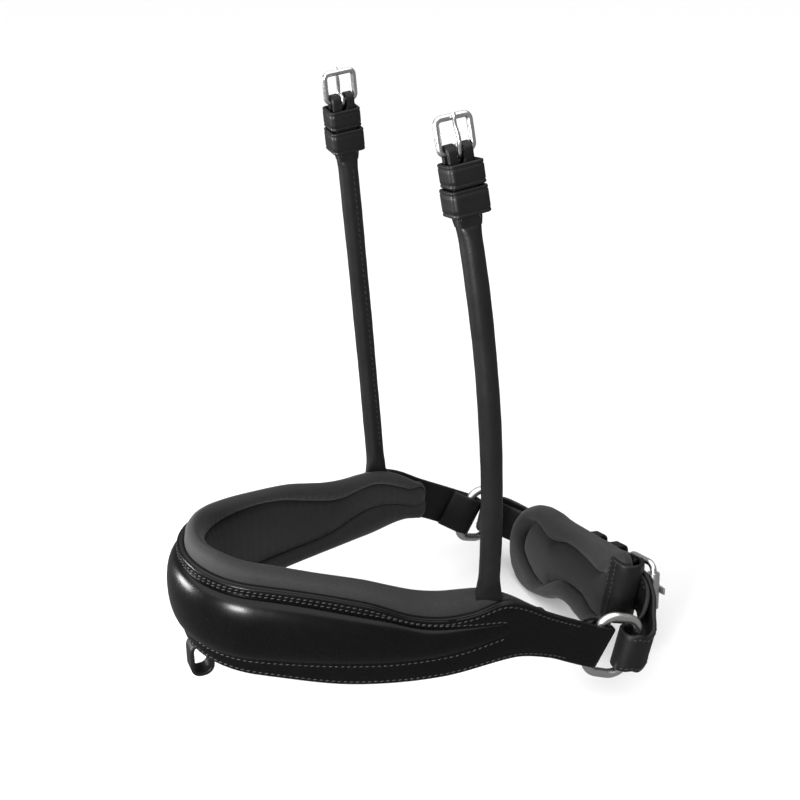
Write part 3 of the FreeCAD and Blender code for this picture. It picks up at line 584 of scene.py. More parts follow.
# -------------------------------------------------------------- flash loop
# A short keeper of strap leather hangs under the front of the nose.
# Its ends are sewn in between the backing and the front.
FLASH_MID = Vector((0, -85.5, -6.4))
FLASH_HALF = (3.6, 7.4)
FLASH_CORNER = 3.0
FLASH_WALL = 2.0
FLASH_WIDE = 9.0


def loop_stations(half_a, half_b, corner, wall, middle, axis_a, axis_b, steps=6):
    """Stations round a rounded rectangle, at the middle of the leather's thickness."""
    across = axis_a.cross(axis_b)
    stations = []
    for quarter, (qa, qb) in enumerate(((1, 1), (-1, 1), (-1, -1), (1, -1))):
        for step in range(steps + 1):
            turn = SQUARE * (quarter + step / steps)
            out = axis_a * math.cos(turn) + axis_b * math.sin(turn)
            hub = middle + axis_a * (qa * (half_a - corner)) + axis_b * (qb * (half_b - corner))
            stations.append((hub + out * (corner + wall / 2), across, out))
    return stations + stations[:1]


flash_stations = loop_stations(FLASH_HALF[0], FLASH_HALF[1], FLASH_CORNER, FLASH_WALL, FLASH_MID,
                               Vector((0, 1, 0)), Vector((0, 0, 1)), 8)
flash = sweep(flash_stations, [strap_section(FLASH_WIDE, FLASH_WALL, 0.7)] * len(flash_stations))
finish_piece(flash, "flash_keeper", "noseband", strap_leather, ["flash_loop"])

# -------------------------------------------------------------------- rings
# Each end of the band carries a welded loop of steel wire, polished bright, that the
# crank strap passes through. The same finish is on every buckle.
SIDES = (("right", 1), ("left", -1))
RING_HALF = (11.25, 15.25)
RING_CORNER = 8.4
RING_WIRE = 2.25
RING_LEAN = math.radians(-20)
RING_TOE_IN = math.radians(-8)

material, shader, start, place = new_material("polished_steel", {"Metallic": 1.0})
smear = start.noise(place, 160.0, 4.0)
scratch = start.noise(place, 2800.0, 2.0, 0.4)
dress(shader, start, smear.blend(grey(0.78), grey(0.92)), 0.20 + 0.12 * smear + 0.04 * scratch,
      smear * 0.6 + scratch * 0.2, 0.00004, 0.35)
steel = material


def oval(half_across, half_out, squareness=1.0, seam=0.0, steps=28):
    """Closed outline of a roll or wire cut across; a roll has its seam on the inner side."""
    points = []
    for step in range(steps):
        turn = 2 * math.pi * step / steps
        c = math.cos(turn)
        s = math.sin(turn)
        a = half_across * math.copysign(abs(c) ** squareness, c)
        o = half_out * math.copysign(abs(s) ** squareness, s)
        if step == round(steps * 0.75):
            o += seam
        points.append((a, o))
    return points


def steel_loop(name, body, node, middle, axis_a, axis_b, half, corner, wire):
    """A loop of round wire, bent and welded, in place of a CAD frame."""
    stations = loop_stations(half[0], half[1], corner, 0.0, middle, axis_a, axis_b, 10)
    finish_piece(sweep(stations, [oval(wire, wire, steps=18)] * len(stations)),
                 name, body, steel, [node], 60.0)


for side_name, side in SIDES:
    ring_turn = Matrix.Rotation(RING_LEAN, 3, "X") @ Matrix.Rotation(RING_TOE_IN * side, 3, "Z")
    heel = Vector((side * BAR_X, FOLD_MID.y, FOLD_MID.z))
    steel_loop("end_ring_" + side_name, side_name + "_ring", side_name + "_ring",
               heel + ring_turn @ Vector((0, RING_HALF[0], 0)), ring_turn @ Vector((0, 1, 0)),
               ring_turn @ Vector((0, 0, 1)), RING_HALF, RING_CORNER, RING_WIRE)

# ------------------------------------------------------------ rolled cheeks
# Each cheekpiece is strap leather rolled round a cord and sewn closed down its inner
# side. Its lower end is left flat and sewn in between the backing and the padding.
CHEEK_BASE = Vector((63.3, 30.4, 40.2))
CHEEK_MIDDLE = Vector((67.4, 25.4, 120.0))
CHEEK_TOP = Vector((62.3, 16.6, 197.0))
ROOT_ALONG = Vector((0.156, 0.988, 0))
ROOT_HEIGHTS = (24.0, 28.0, 31.0, 33.5, 35.5, 37.0, 38.6)
HEAD_UP = Vector((-0.1218, -0.1381, 0.9829))
HEAD_OUT = Vector((0.9926, -0.0169, 0.1206))
HEAD_ACROSS = Vector((0, 0.990, 0.139))
NECK_HEIGHTS = (1.5, 3.0, 4.5, 6.0, 8.0, 10.0, 12.0, 16.0, 21.0, 26.0)
ROLL_R = 4.7
ROOT_HALF = 1.6
ROOT_FLARE = 1.5
ROLL_SEAM = 0.45
NECK = 10.0
GAP = 3.0
PLY = 1.9
CHEEK_W = 10.8

roll_leather = leather("roll_leather", grey(0.003), grey(0.012), 0.36, 1300.0, 0.00010, 0.32)


def mirrored(vector, side):
    return Vector((side * vector.x, vector.y, vector.z))


def dress_node(node, material):
    """Give a CAD node, which stays as it is, one of the scene's materials."""
    for material_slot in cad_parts[node].material_slots:
        material_slot.material = material


def curve_point(before, first, second, beyond, t):
    """A point on the smooth curve from first to second, at t from 0 to 1."""
    return 0.5 * (2 * first + (second - before) * t
                  + (2 * before - 5 * first + 4 * second - beyond) * t * t
                  + (3 * first - before - 3 * second + beyond) * t ** 3)


def circle_through(first, middle, last, count):
    """Points along the arc through three points."""
    a = middle - first
    b = last - first
    normal = a.cross(b)
    centre = first + (normal.cross(a) * b.length_squared + b.cross(normal) * a.length_squared) / (
        2 * normal.length_squared)
    start = first - centre
    total = start.angle(last - centre)
    return [centre + Matrix.Rotation(total * step / count, 3, normal) @ start
            for step in range(count + 1)]


def cheek_path(side):
    """Centre, share of the way up and height, from the sewn root up to the buckle's bar."""
    stations = [(Vector((CHEEK_BASE.x, CHEEK_BASE.y, z)), 0.0, z) for z in ROOT_HEIGHTS]
    for point in circle_through(CHEEK_BASE, CHEEK_MIDDLE, CHEEK_TOP, 64):
        stations.append((point, (point.z - CHEEK_BASE.z) / (CHEEK_TOP.z - CHEEK_BASE.z), point.z))
    for up in NECK_HEIGHTS:
        stations.append((CHEEK_TOP + HEAD_UP * up, 1.0, CHEEK_TOP.z + up))
    return [(mirrored(point, side), share, height) for point, share, height in stations]


def cheek_stations(side):
    """Centre, across, out and height of each station of the roll."""
    path = cheek_path(side)
    stations = []
    for index, (point, share, height) in enumerate(path):
        along = (path[min(index + 1, len(path) - 1)][0] - path[max(index - 1, 0)][0]).normalized()
        across = mirrored(ROOT_ALONG.lerp(HEAD_ACROSS, ease(share)), side)
        across = (across - along * across.dot(along)).normalized()
        out = across.cross(along)
        if out.x * side < 0:
            out = -out
        stations.append((point, across, out, height))
    return stations


def roll_section(height):
    """The roll cut across: flat where it is sewn in, round up the cheek, flat in the head."""
    flare = 1 - ease((height - 33.0) / 13.0)
    flat = ease((height - CHEEK_TOP.z) / NECK)
    wave = 0.03 * math.sin(height * 0.43) + 0.06 * math.sin(height * 0.11 + 1.0)
    half_across = ROLL_R + wave + ROOT_FLARE * flare + (CHEEK_W / 2 - 0.3 - ROLL_R) * flat
    half_out = ROLL_R + wave - (ROLL_R - ROOT_HALF) * flare
    half_out += (GAP / 2 + PLY * (1 - ease((height - CHEEK_TOP.z - 6) / 3.5)) - ROLL_R) * flat
    return oval(half_across, half_out, 1 - 0.42 * max(flare, flat), ROLL_SEAM * (1 - flare) * (1 - flat))


for side_name, side in SIDES:
    stations = cheek_stations(side)
    sections = [roll_section(height) for point, across, out, height in stations]
    roll = finish_piece(sweep([station[:3] for station in stations], sections),
                        "rolled_cheekpiece_" + side_name, None, roll_leather,
                        ["rolled_cheek_" + side_name, "cheek_core_" + side_name], 55.0)
    bend_x = side * CHEEK_BASE.x * MM
    "cheek_" + side_name
    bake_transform(roll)
    dress_node("cheek_root_" + side_name, strap_leather)

# ------------------------------------------------------------- cheek straps
# The head of each cheekpiece is a flat strap, folded over its buckle's bar and sewn
# down both edges. The fold has a slot for the tongue.
BAR_UP = 34.5
FOLD_REACH = (GAP + PLY) / 2
HEAD_HEIGHTS = (6.5, 9.0, 12.0, 18.0, 24.0, 29.0, 32.0, BAR_UP - 1)
TONGUE_SLOT = (14.0, 3.2, 12.0)
SEAM_LOWEST = 50.0


def head_point(side, x, y, z):
    """A point at x out, y across and z up from the top of the roll."""
    return (mirrored(CHEEK_TOP, side) + mirrored(HEAD_OUT, side) * x + HEAD_ACROSS * y
            + mirrored(HEAD_UP, side) * z)


def punch_slot(piece, size, axis, radius, place, low_only=False):
    """Punch a slot through a piece, with the corners that run along one axis rounded."""
    cutter_bm = bmesh.new()
    bmesh.ops.create_cube(cutter_bm, size=1.0)
    bmesh.ops.scale(cutter_bm, vec=size, verts=cutter_bm.verts)
    corners = [edge for edge in cutter_bm.edges
               if abs(edge.verts[0].co[axis] - edge.verts[1].co[axis]) > 1
               and (edge.verts[0].co.z < 0 or not low_only)]
    bmesh.ops.bevel(cutter_bm, geom=corners, offset=radius, segments=5, profile=0.5,
                    affect="EDGES", material=-1)
    bmesh.ops.transform(cutter_bm, matrix=place, verts=cutter_bm.verts)
    bmesh.ops.scale(cutter_bm, vec=(MM, MM, MM), verts=cutter_bm.verts)
    bmesh.ops.recalc_face_normals(cutter_bm, faces=cutter_bm.faces)
    cutter_mesh = bpy.data.meshes.new("cutter")
    cutter_bm.to_mesh(cutter_mesh)
    cutter_bm.free()
    cutter = bpy.data.objects.new("cutter", cutter_mesh)
    bpy.context.collection.objects.link(cutter)
    punch = piece.modifiers.new("punch", "BOOLEAN")
    punch.operation = "DIFFERENCE"
    punch.solver = "EXACT"
    punch.use_self = True
    punch.object = cutter
    graph = bpy.context.evaluated_depsgraph_get()
    cut = bpy.data.meshes.new_from_object(piece.evaluated_get(graph), depsgraph=graph)
    piece.modifiers.remove(punch)
    piece.data = cut
    bpy.data.objects.remove(cutter)


for side_name, side in SIDES:
    up = mirrored(HEAD_UP, side)
    out = mirrored(HEAD_OUT, side)
    fold = [(FOLD_REACH, z, 1.0, 0.0) for z in HEAD_HEIGHTS]
    fold += [(FOLD_REACH * math.cos(turn), BAR_UP + FOLD_REACH * math.sin(turn),
              math.cos(turn), math.sin(turn)) for turn in (math.pi * n / 14 for n in range(15))]
    fold += [(-x, z, -1.0, 0.0) for x, z, a, b in reversed(fold[:8])]
    fold_path = [(head_point(side, x, 0, z), HEAD_ACROSS, out * out_x + up * out_z)
                 for x, z, out_x, out_z in fold]
    narrow = [strap_section(CHEEK_W - 1.6 * (z < 7) - 0.6 * (7 < z < 10), PLY, 0.7)
              for x, z, a, b in fold]
    head_strap = finish_piece(sweep(fold_path, narrow), "cheek_strap_fold_" + side_name,
                              "cheek_" + side_name, strap_leather,
                              ["cheek_strap_" + side_name])
    slot_place = (Matrix.Translation(head_point(side, 0, 0, BAR_UP + 1.5))
                  @ Matrix((out, HEAD_ACROSS, up)).transposed().to_4x4())
    punch_slot(head_strap, TONGUE_SLOT, 0, 1.5, slot_place, low_only=True)

    cheek_stitches = bmesh.new()
    seam_row = [(point - out * (ROLL_R - 0.25) + across * 0.9, -out)
                for point, across, out, height in cheek_stations(side)
                if SEAM_LOWEST < height < CHEEK_TOP.z + 2]
    sew(cheek_stitches, seam_row, 3.0, 0.9, 0.3)
    for sign in (1, -1):
        for face in (1, -1):
            row = [(head_point(side, face * (FOLD_REACH + PLY / 2 + 0.03), sign * (CHEEK_W / 2 - 1.5), z),
                    out * face) for z in (8.5, 12, 16, 20, 24, 28, 31.4)]
            sew(cheek_stitches, row, 2.5, 0.85)
    finish_stitches(cheek_stitches, "cheek_stitches_" + side_name, "cheek_" + side_name)

# ------------------------------------------------------------ cheek keepers
# Two keepers of creased strap leather stand under each buckle. The upper one is sewn
# to the strap, and the lower one slides on it.
KEEPER_WALL = 1.5
KEEPER_CORNER = 0.8
KEEPERS = (("fixed", "cheek_", 9.0, 26.6, 9.4, 12.0, 0.1),
           ("running", "cheek_slider_", 10.4, 16.3, 10.2, 12.8, 1.1))

for side_name, side in SIDES:
    for kind, body, tall, height, deep, wide, slack in KEEPERS:
        middle = head_point(side, deep / 2 - GAP / 2 - PLY - slack, 0, height)
        ring = loop_stations(deep / 2, wide / 2, KEEPER_CORNER, KEEPER_WALL, middle,
                             mirrored(HEAD_OUT, side), HEAD_ACROSS)
        finish_piece(sweep(ring, [strap_section(tall, KEEPER_WALL, 0.6, 1.5)] * len(ring)),
                     kind + "_loop_" + side_name, body + side_name,
                     strap_leather, [kind + "_keeper_" + side_name])

# ------------------------------------------------------------ cheek buckles
# Each cheek buckle is a square frame of bent steel wire, held by the strap's fold. Its
# tongue is a tapered wire, curled round the bar, with a set in its length.
BUCKLE_HALF = (6.95, 6.45)
BUCKLE_CORNER = 2.2
BUCKLE_WIRE = 1.25
EYE = 2.17
TONGUE_SHAFT = [(2.35, 0.0, 1.2), (2.9, 0.15, 3.6), (2.6, 0.3, 6.4), (2.0, 0.1, 9.0),
                (1.95, -0.1, 11.2), (2.2, 0.0, 12.9), (2.15, 0.05, 14.4)]
TONGUE_WIRE = 0.80
TONGUE_STEPS = 110
TIP_FROM = 106


def through(points, count):
    """Evenly numbered points on a smooth curve through the given ones."""
    found = []
    last = len(points) - 1
    for step in range(count + 1):
        place = last * step / count
        at = min(int(place), last - 1)
        near = [points[min(max(at + n, 0), last)] for n in (-1, 0, 1, 2)]
        found.append(curve_point(*near, place - at))
    return found


curl = [(EYE * math.cos(turn), 0.0, EYE * math.sin(turn))
        for turn in (math.radians(degrees) for degrees in range(-330, -20, 18))]
wire = through([Vector(spot) for spot in curl + TONGUE_SHAFT], TONGUE_STEPS)
for side_name, side in SIDES:
    up = mirrored(HEAD_UP, side)
    out = mirrored(HEAD_OUT, side)
    steel_loop("cheek_frame_" + side_name, "cheek_buckle_" + side_name, "cheek_buckle_" + side_name,
               head_point(side, 0, 0, BAR_UP + BUCKLE_HALF[1]), HEAD_ACROSS, up, BUCKLE_HALF,
               BUCKLE_CORNER, BUCKLE_WIRE)
    stations = []
    sections = []
    for index, spot in enumerate(wire):
        ahead = (wire[min(index + 1, TONGUE_STEPS)] - wire[max(index - 1, 0)]).normalized()
        spot_out = Vector((0, 1, 0)).cross(ahead).normalized()
        taper = TONGUE_WIRE - 0.16 * ease((index - 75) / 35.0)
        if index > TIP_FROM:
            taper *= 0.96 - 0.2 * (index - TIP_FROM) / 4
        stations.append((head_point(side, spot.x, spot.y, BAR_UP + spot.z), HEAD_ACROSS,
                         out * spot_out.x + up * spot_out.z))
        sections.append(oval(taper * 1.15, taper, steps=12))
    finish_piece(sweep(stations, sections), "cheek_tongue_wire_" + side_name,
                 "cheek_tongue_" + side_name, steel, ["cheek_tongue_" + side_name], 60.0)

# ----------------------------------------------------------------- chin pad
# The chin pad is nappa over foam on a stiff plate: a thick rolled border stands round
# a lower field, and the seam between them follows the pad's two lobes.
CHIN_TURN = (Matrix.Rotation(math.radians(-12), 4, "Y") @ Matrix.Rotation(math.radians(-5), 4, "X"))
CHIN_PLACE = Matrix.Translation((2.0, 114.0, -7.0)) @ CHIN_TURN
CHIN_OUTLINE = [(50, 2), (53.5, 13), (50, 20.5), (40, 21), (27, 21.5), (9, 22.2), (-7, 23), (-18, 24.6),
                (-30, 24), (-42, 19), (-51, 11), (-56, 2), (-57.5, -8), (-55, -18), (-47, -25),
                (-34, -27), (-18, -25.6), (-5, -21.4), (6, -21), (16, -24.6), (28, -26), (37, -21),
                (44, -10)]
CHIN_SEAM = [(44, -1), (43, 6), (39, 9), (32.5, 6.6), (24, 9.4), (12, 12.2), (0, 11.7), (-12, 9.2),
             (-19, 14), (-28, 16.2), (-38, 10), (-43, 2), (-43.5, -6), (-39, -13), (-31, -18.4),
             (-21.5, -19.6), (-14, -14.6), (-3, -10.5), (9, -10.8), (18, -12.7), (25, -17.5), (33, -17),
             (39, -9)]
CHIN_ROLLS = [0.2, 0.3, 0.55, 0.95] + [1.0] * 16 + [0.9, 0.5, 0.25]
CHIN_MIDDLE = Vector((-2, -2))
CHIN_COLUMNS = 144
CHIN_FIELD = [0.0, 0.12, 0.25, 0.38, 0.5, 0.62, 0.73, 0.83, 0.91, 0.965]
CHIN_ROLL = [6, 16, 28, 42, 56, 72, 90, 108, 126, 144, 160, 172, 180]
CHIN_BACK = [(0.99, 0.20), (0.965, 0.55), (0.92, 0.85), (0.86, 1.0), (0.6, 1.0), (0.3, 1.0), (0.0, 1.0)]
GROOVE = 0.5
FIELD_RISE = 4.2
BORDER_RISE = 7.0
THIN_BORDER = 3.4
CHIN_DEEP = 5.9
PUCKERS = 36


def closed_curve(points, share):
    """A point on the smooth closed curve through the points."""
    count = len(points)
    place = (share % 1.0) * count
    at = int(place)
    near = [Vector(points[(at + n) % count]) for n in (-1, 0, 1, 2)]
    return curve_point(*near, place - at)


def chin_place(column, row):
    """A point on the pad: the rows go from its field over the seam and border to its back."""
    share = column / CHIN_COLUMNS
    outer = closed_curve(CHIN_OUTLINE, share)
    seam = closed_curve(CHIN_SEAM, share)
    rolled = closed_curve([(full, 0) for full in CHIN_ROLLS], share).x
    pucker = 0.14 * math.sin(share * 2 * math.pi * PUCKERS + math.sin(share * 40))
    edge = FIELD_RISE * 0.8 * (1 - rolled)
    if row < len(CHIN_FIELD):
        b = CHIN_FIELD[row]
        flat = CHIN_MIDDLE + (seam - CHIN_MIDDLE) * b
        flat.x = seam.x * (0.82 + 0.18 * b)
        depth = -(GROOVE + max(FIELD_RISE * (1 - b ** 2.6) ** 0.75, edge) + pucker * b ** 6)
    elif row == len(CHIN_FIELD):
        flat = seam
        depth = -(GROOVE - 0.9 * rolled + edge)
    elif row <= len(CHIN_FIELD) + len(CHIN_ROLL):
        turn = math.radians(CHIN_ROLL[row - len(CHIN_FIELD) - 1])
        flat = seam.lerp(outer, (1 - math.cos(turn)) / 2)
        floor = GROOVE + edge if turn < SQUARE else 0.0
        peak = max(THIN_BORDER + (BORDER_RISE - THIN_BORDER) * rolled, floor)
        depth = -(floor + (peak - floor + pucker * math.cos(turn) ** 2) * math.sin(turn))
    else:
        scale, back = CHIN_BACK[row - len(CHIN_FIELD) - len(CHIN_ROLL) - 1]
        flat = outer * scale
        depth = CHIN_DEEP * back
    return CHIN_PLACE @ Vector((flat.x, depth, flat.y))


chin_rows = len(CHIN_FIELD) + len(CHIN_ROLL) + len(CHIN_BACK)
chin_pad = finish_piece(lay_grid(CHIN_COLUMNS, chin_rows, chin_place), "chin_padding", "chin",
                        nappa, ["chin_pad_cover", "chin_pad_foam"], 70.0)

# --------------------------------------------------------------- chin plate
# The pad is sewn through a stiff leather plate with rounded ends, which carries the
# crank straps behind it.
PLATE = (86.0, 2.4, 23.0)
PLATE_CORNER = 8.0
PLATE_BEVEL = 0.7
PLATE_BACK = 7.2
plate = bmesh.new()
bmesh.ops.create_cube(plate, size=1.0)
bmesh.ops.scale(plate, vec=PLATE, verts=plate.verts)
corners = [edge for edge in plate.edges if abs(edge.verts[0].co.y - edge.verts[1].co.y) > 1]
bmesh.ops.bevel(plate, geom=corners, offset=PLATE_CORNER, segments=8, profile=0.5,
                affect="EDGES", material=-1)
rims = [edge for edge in plate.edges if len(edge.link_faces) == 2
        and abs(edge.verts[0].co.y - edge.verts[1].co.y) < 0.01]
bmesh.ops.bevel(plate, geom=rims, offset=PLATE_BEVEL, segments=3, profile=0.5,
                affect="EDGES", material=-1)
bmesh.ops.transform(plate, matrix=CHIN_PLACE @ Matrix.Translation((0, PLATE_BACK, 0)),
                    verts=plate.verts)
finish_piece(plate, "chin_plate", "chin", strap_leather, ["chin_pad_plate"])

# ----------------------------------------------------------------- chin tab
# A leather tab is wrapped round the pad's right end and sewn through it, where the
# strap behind the pad is fixed.
TAB_TOP = Vector((49.5, 0, 18.5))
TAB_LOW = Vector((41.0, 0, -14.0))
tab_along = (TAB_TOP - TAB_LOW).normalized()
tab_beside = Vector((tab_along.z, 0, -tab_along.x))
tab_wrap = [(-3.4, -4.9, -0.1, -1.0), (-1.0, -5.3, 0.0, -1.0), (2.2, -5.0, 0.2, -1.0),
            (5.2, -3.4, 0.75, -0.7), (6.6, 0.0, 1.0, 0.0), (6.6, 4.0, 1.0, 0.1),
            (5.0, 7.2, 0.6, 0.8), (1.0, 9.0, 0.1, 1.0)]
tab_middle = (TAB_TOP + TAB_LOW) / 2
tab_stations = []
for beside, depth, out_beside, out_depth in tab_wrap:
    spot = tab_middle + tab_beside * beside + Vector((0, depth, 0))
    tab_out = (tab_beside * out_beside + Vector((0, out_depth, 0))).normalized()
    tab_stations.append((CHIN_PLACE @ spot, CHIN_TURN @ tab_along, CHIN_TURN @ tab_out))
tab_tall = (TAB_TOP - TAB_LOW).length
finish_piece(sweep(tab_stations, [strap_section(tab_tall, 1.8, 0.7)] * len(tab_stations)),
             "chin_tab", "chin", strap_leather, (), 60.0)

# -------------------------------------------------------------- crank strap
# Two straps leave the chin plate, turn round the rings and come back behind the pad.
# The left one ends in the buckle's chape, and the right one passes under the roller.
CRANK_W = 20.0
CRANK_T = 2.2
DECK = 16.8
HEEL_X = 30.0
ROLLER_X = 50.0
UPRIGHT = Vector((0, 0.2, 1))
INNER_Y = 9.6
UNDER_Y = 12.1
OVER_Y = 21.8
TURN_R = 5.7
TURN_STEPS = 6
RIBBON_STEPS = 8
RING_BAR = Vector((69.44, 107.14, -13.57))
CRANK_SLOT = (19.5, 16.0, 4.6)
SLOT_ROUND = 2.2


def on_pad(x, y):
    """A point behind the pad, and the way up there."""
    return CHIN_PLACE @ Vector((x, y, 0.0)), CHIN_TURN @ Vector((0, 0, 1))


def turn_round(side):
    """Stations round a ring's outer bar, inner side first."""
    centre = mirrored(RING_BAR, side) + Vector((0, -1.6, 1.4))
    return [(centre + Vector((-side * TURN_R * math.cos(turn), -TURN_R * math.sin(turn), 0)), UPRIGHT)
            for turn in (math.pi * step / TURN_STEPS for step in range(TURN_STEPS + 1))]


right_route = [on_pad(18, INNER_Y), on_pad(46, INNER_Y),
               (Vector((58.4, 120.3, -1.2)), UPRIGHT), (Vector((64.0, 113.6, -9.4)), UPRIGHT)]
right_route += turn_round(1)
right_route += [(Vector((75.2, 109.6, -13.8)), UPRIGHT), (Vector((72.6, 115.0, -12.4)), UPRIGHT),
                (Vector((66.6, 118.8, -8.6)), UPRIGHT), (Vector((59.6, 122.9, -2.6)), UPRIGHT)]
right_route += [on_pad(ROLLER_X, UNDER_Y), on_pad(46.0, UNDER_Y + 0.4),
                on_pad(40.0, (UNDER_Y + OVER_Y) / 2), on_pad(34.0, OVER_Y - 0.3),
                on_pad(28.0, OVER_Y), on_pad(-24.0, OVER_Y)]
left_route = [on_pad(-18, INNER_Y), on_pad(-46, INNER_Y),
              (Vector((-55.0, 119.4, -18.4)), UPRIGHT), (Vector((-62.2, 113.0, -16.4)), UPRIGHT)]
left_route += turn_round(-1)
left_route += [(Vector((-75.2, 109.6, -14.6)), UPRIGHT), (Vector((-72.4, 116.0, -16.4)), UPRIGHT),
               (Vector((-64.0, 121.6, -18.2)), UPRIGHT), (Vector((-52.0, 125.2, -18.6)), UPRIGHT)]
left_route += [on_pad(-38.0, UNDER_Y + 0.6), on_pad(-12.0, DECK), on_pad(22.0, DECK)]


def ribbon_stations(route, side):
    """Stations for a strap that is laid along a route."""
    points = through([point for point, up in route], RIBBON_STEPS * (len(route) - 1))
    ups = through([up.normalized() for point, up in route], RIBBON_STEPS * (len(route) - 1))
    stations = []
    for index, (point, up) in enumerate(zip(points, ups)):
        along = (points[min(index + 1, len(points) - 1)] - points[max(index - 1, 0)]).normalized()
        stations.append((point, up.normalized(), along.cross(up).normalized() * side))
    return stations


def ribbon_width(index, last):
    """The strap's width at a station: its two ends are rounded off."""
    from_end = min(index, last - index)
    return CRANK_W - (4.0 if from_end == 0 else 1.2 if from_end == 1 else 0)


crank_stitches = bmesh.new()
for beside in (-2.2, 1.6):
    row = [(CHIN_PLACE @ (tab_middle + tab_beside * beside + tab_along * t + Vector((0, -6.2, 0))),
            CHIN_TURN @ Vector((0, -1, 0))) for t in range(-15, 16, 3)]
    sew(crank_stitches, row, 2.6)
for (side_name, side), route in zip(SIDES, (right_route, left_route)):
    stations = ribbon_stations(route, side)
    last = len(stations) - 1
    sections = [strap_section(ribbon_width(index, last), CRANK_T, 0.8) for index in range(last + 1)]
    ribbon = finish_piece(sweep(stations, sections), "crank_ribbon_" + side_name, "chin",
                          strap_leather,
                          [part + side_name for part in ("crank_strap_", "crank_leg_", "crank_turn_")])
    if side > 0:
        punch_slot(ribbon, CRANK_SLOT, 1, SLOT_ROUND, CHIN_PLACE @ Matrix.Translation((37.2, 17.0, 0)))
    for sign in (1, -1):
        for first, final in ((3, 16), (64, 100 if side > 0 else 84)):
            row = [(centre + across * (sign * (CRANK_W / 2 - 2.0)) + out * (CRANK_T / 2 + 0.04), out)
                   for centre, across, out in stations[first:final]]
            sew(crank_stitches, row)

# ------------------------------------------------- crank chape and buckle
# The chape is folded over the crank buckle's heel bar, with the left strap's end inside
# it, and sewn. The buckle is a frame of bent steel wire with a roller and a tongue.
CHAPE_WALL = 1.8
CHAPE_SLOT = (12.0, 12.0, 4.6)
CRANK_WIRE = 1.6
CRANK_HALF = (10.0, 13.4)
CRANK_CORNER = 4.2
CRANK_PLAY = 0.2
fold_r = CRANK_WIRE + CRANK_PLAY + CHAPE_WALL / 2
chape_path = [(x, DECK - fold_r, 0.0, -1.0) for x in (2.0, 2.6, 8.0, 14.0, 20.0, 26.0, HEEL_X - 0.5)]
chape_path += [(HEEL_X + fold_r * math.sin(turn), DECK - fold_r * math.cos(turn),
                math.sin(turn), -math.cos(turn)) for turn in (math.pi * n / 12 for n in range(13))]
chape_path += [(x, 2 * DECK - y, 0.0, 1.0) for x, y, a, b in reversed(chape_path[:7])]
pad_up = CHIN_TURN @ Vector((0, 0, 1))
stations = [(CHIN_PLACE @ Vector((x, y, 0)), pad_up, CHIN_TURN @ Vector((a, b, 0)))
            for x, y, a, b in chape_path]
chape = finish_piece(sweep(stations, [strap_section(CRANK_W, CHAPE_WALL, 0.7)] * len(stations)),
                     "chape_fold", "chin", strap_leather, ["crank_chape"])
punch_slot(chape, CHAPE_SLOT, 1, SLOT_ROUND,
           CHIN_PLACE @ Matrix.Translation((HEEL_X + 1.0, DECK, 0)))
steel_loop("crank_frame", "chin", "crank_buckle_frame",
           CHIN_PLACE @ Vector((HEEL_X + CRANK_HALF[0], DECK, 0)), CHIN_TURN @ Vector((1, 0, 0)),
           CHIN_TURN @ Vector((0, 0, 1)), CRANK_HALF, CRANK_CORNER, CRANK_WIRE)
dress_node("crank_roller", steel)
dress_node("crank_tongue", steel)
for sign in (1, -1):
    row = [(CHIN_PLACE @ Vector((x, DECK + fold_r + 0.94, sign * 8.2)), CHIN_TURN @ Vector((0, 1, 0)))
           for x in (3, 8, 14, 20, 26)]
    sew(crank_stitches, row, 2.5)
finish_stitches(crank_stitches, "crank_stitches", "chin")

# ------------------------------------------------------------ crank keepers
# Two creased keepers of strap leather hold the right strap's tail. One is sewn to the
# chape, and the other slides along it.
CRANK_KEEPER_HALF = 10.6
keeper_low = DECK - CRANK_WIRE - CRANK_PLAY - CHAPE_WALL - 0.25
keeper_high = OVER_Y + CRANK_T / 2 + 0.35
for kind, centre_x, body in (("fixed", 13.0, "chin"), ("running", -6.0, "crank_running_keeper")):
    middle = CHIN_PLACE @ Vector((centre_x, (keeper_high + keeper_low) / 2, 0))
    ring = loop_stations((keeper_high - keeper_low) / 2, CRANK_KEEPER_HALF, 1.2, CHAPE_WALL, middle,
                         CHIN_TURN @ Vector((0, 1, 0)), CHIN_TURN @ Vector((0, 0, 1)))
    finish_piece(sweep(ring, [strap_section(8.0, CHAPE_WALL, 0.6, 1.4)] * len(ring)),
                 "crank_" + kind + "_loop", body, strap_leather,
                 ["crank_" + kind + "_keeper"])

# ------------------------------------------------------------------- studio
# A plain pale floor lies under the piece. A broad sun overhead lights it all, and two
# soft panels in front of the nose put the highlights on the leather and the steel.
FLOOR_HALF = 14.0
FLOOR_DROP = 0.0012
WORLD_LIGHT = 0.20
SUN_POWER = 2.8
SUN_WIDTH = math.radians(100)
SIDE_PANEL = (0.42, 0.30, 13.0)
NEAR_PANEL = (0.30, 0.26, 17.0)
LENS = 51.615
SENSOR = 36.0

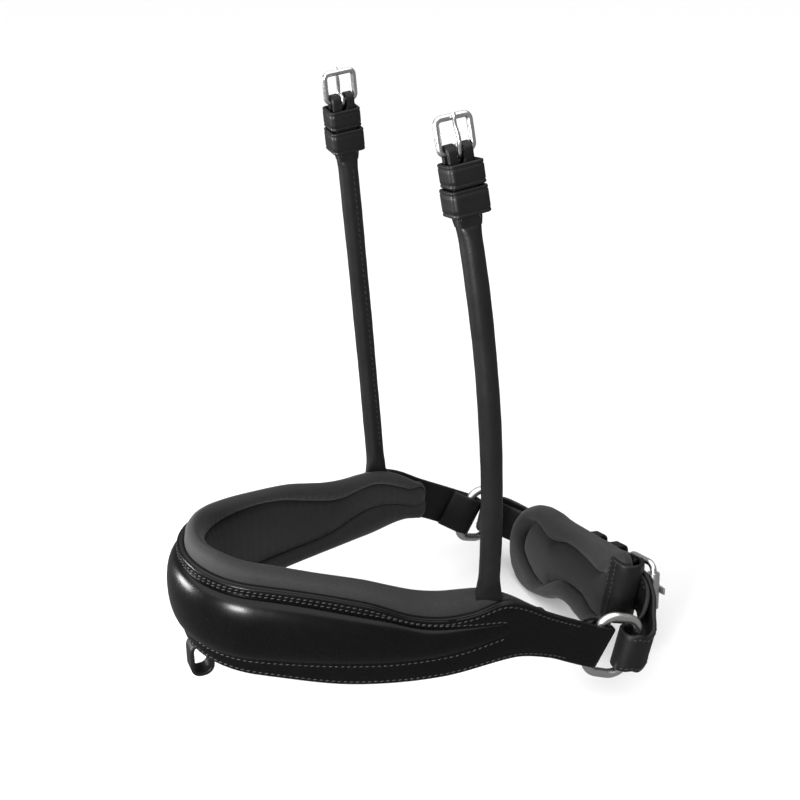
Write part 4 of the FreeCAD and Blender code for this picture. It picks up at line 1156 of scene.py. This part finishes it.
floor_z = cad_box[0].z - FLOOR_DROP
floor_mesh = bpy.data.meshes.new("floor")
floor_bm = bmesh.new()
bmesh.ops.create_grid(floor_bm, x_segments=2, y_segments=2, size=FLOOR_HALF)
bmesh.ops.translate(floor_bm, vec=(0, 0, floor_z), verts=floor_bm.verts)
floor_bm.to_mesh(floor_mesh)
floor_bm.free()
floor = bpy.data.objects.new("floor", floor_mesh)
bpy.context.collection.objects.link(floor)
material, shader, start, place = new_material("pale_floor", {"Roughness": 0.9, "Specular IOR Level": 0.1})
shader.inputs["Base Color"].default_value = (0.93, 0.93, 0.93, 1.0)
floor_mesh.materials.append(material)
floor.visible_glossy = False

world = bpy.data.worlds.new("studio")
bpy.context.scene.world = world
world.use_nodes = True
world.node_tree.nodes["Background"].inputs["Color"].default_value = (1.0, 1.0, 1.0, 1.0)
world.node_tree.nodes["Background"].inputs["Strength"].default_value = WORLD_LIGHT
bpy.context.scene.view_settings.view_transform = "Standard"


def aim(lamp, place, target):
    """Stand a lamp at its place and turn it to its target."""
    lamp.location = place
    lamp.rotation_euler = (Vector(target) - Vector(place)).to_track_quat("-Z", "Y").to_euler()
    bpy.context.collection.objects.link(lamp)


def soft_light(name, place, target, panel):
    """A rectangular panel, given as its width, height and power."""
    width, height, power = panel
    light = bpy.data.lights.new(name, "AREA")
    light.shape = "RECTANGLE"
    light.size = width
    light.size_y = height
    light.energy = power
    aim(bpy.data.objects.new(name, light), place, target)


ceiling = bpy.data.lights.new("ceiling_light", "SUN")
ceiling.energy = SUN_POWER
ceiling.angle = SUN_WIDTH
aim(bpy.data.objects.new("ceiling_light", ceiling), (0.15, -0.25, 2.0), (0, 0, 0))
soft_light("side_light", (-0.50, -0.95, 0.16), (0, -0.05, 0.02), SIDE_PANEL)
soft_light("near_light", (0.74, -0.88, 0.30), (0, -0.02, 0.02), NEAR_PANEL)

camera_data = bpy.data.cameras.new("camera")
camera_data.lens = LENS
camera_data.sensor_width = SENSOR
camera_data.clip_start = 0.01
camera = bpy.data.objects.new("camera", camera_data)
bpy.context.collection.objects.link(camera)
right_way = Vector((0.41094, 0.91164, 0.00570))
up_way = Vector((-0.37973, 0.16549, 0.91017))
forward = Vector((-0.82881, 0.37619, -0.41419))
camera.matrix_world = Matrix.Translation((0.43541, -0.18195, 0.32273)) @ Matrix(
    (right_way, up_way, -forward)).transposed().to_4x4()
bpy.context.scene.camera = camera
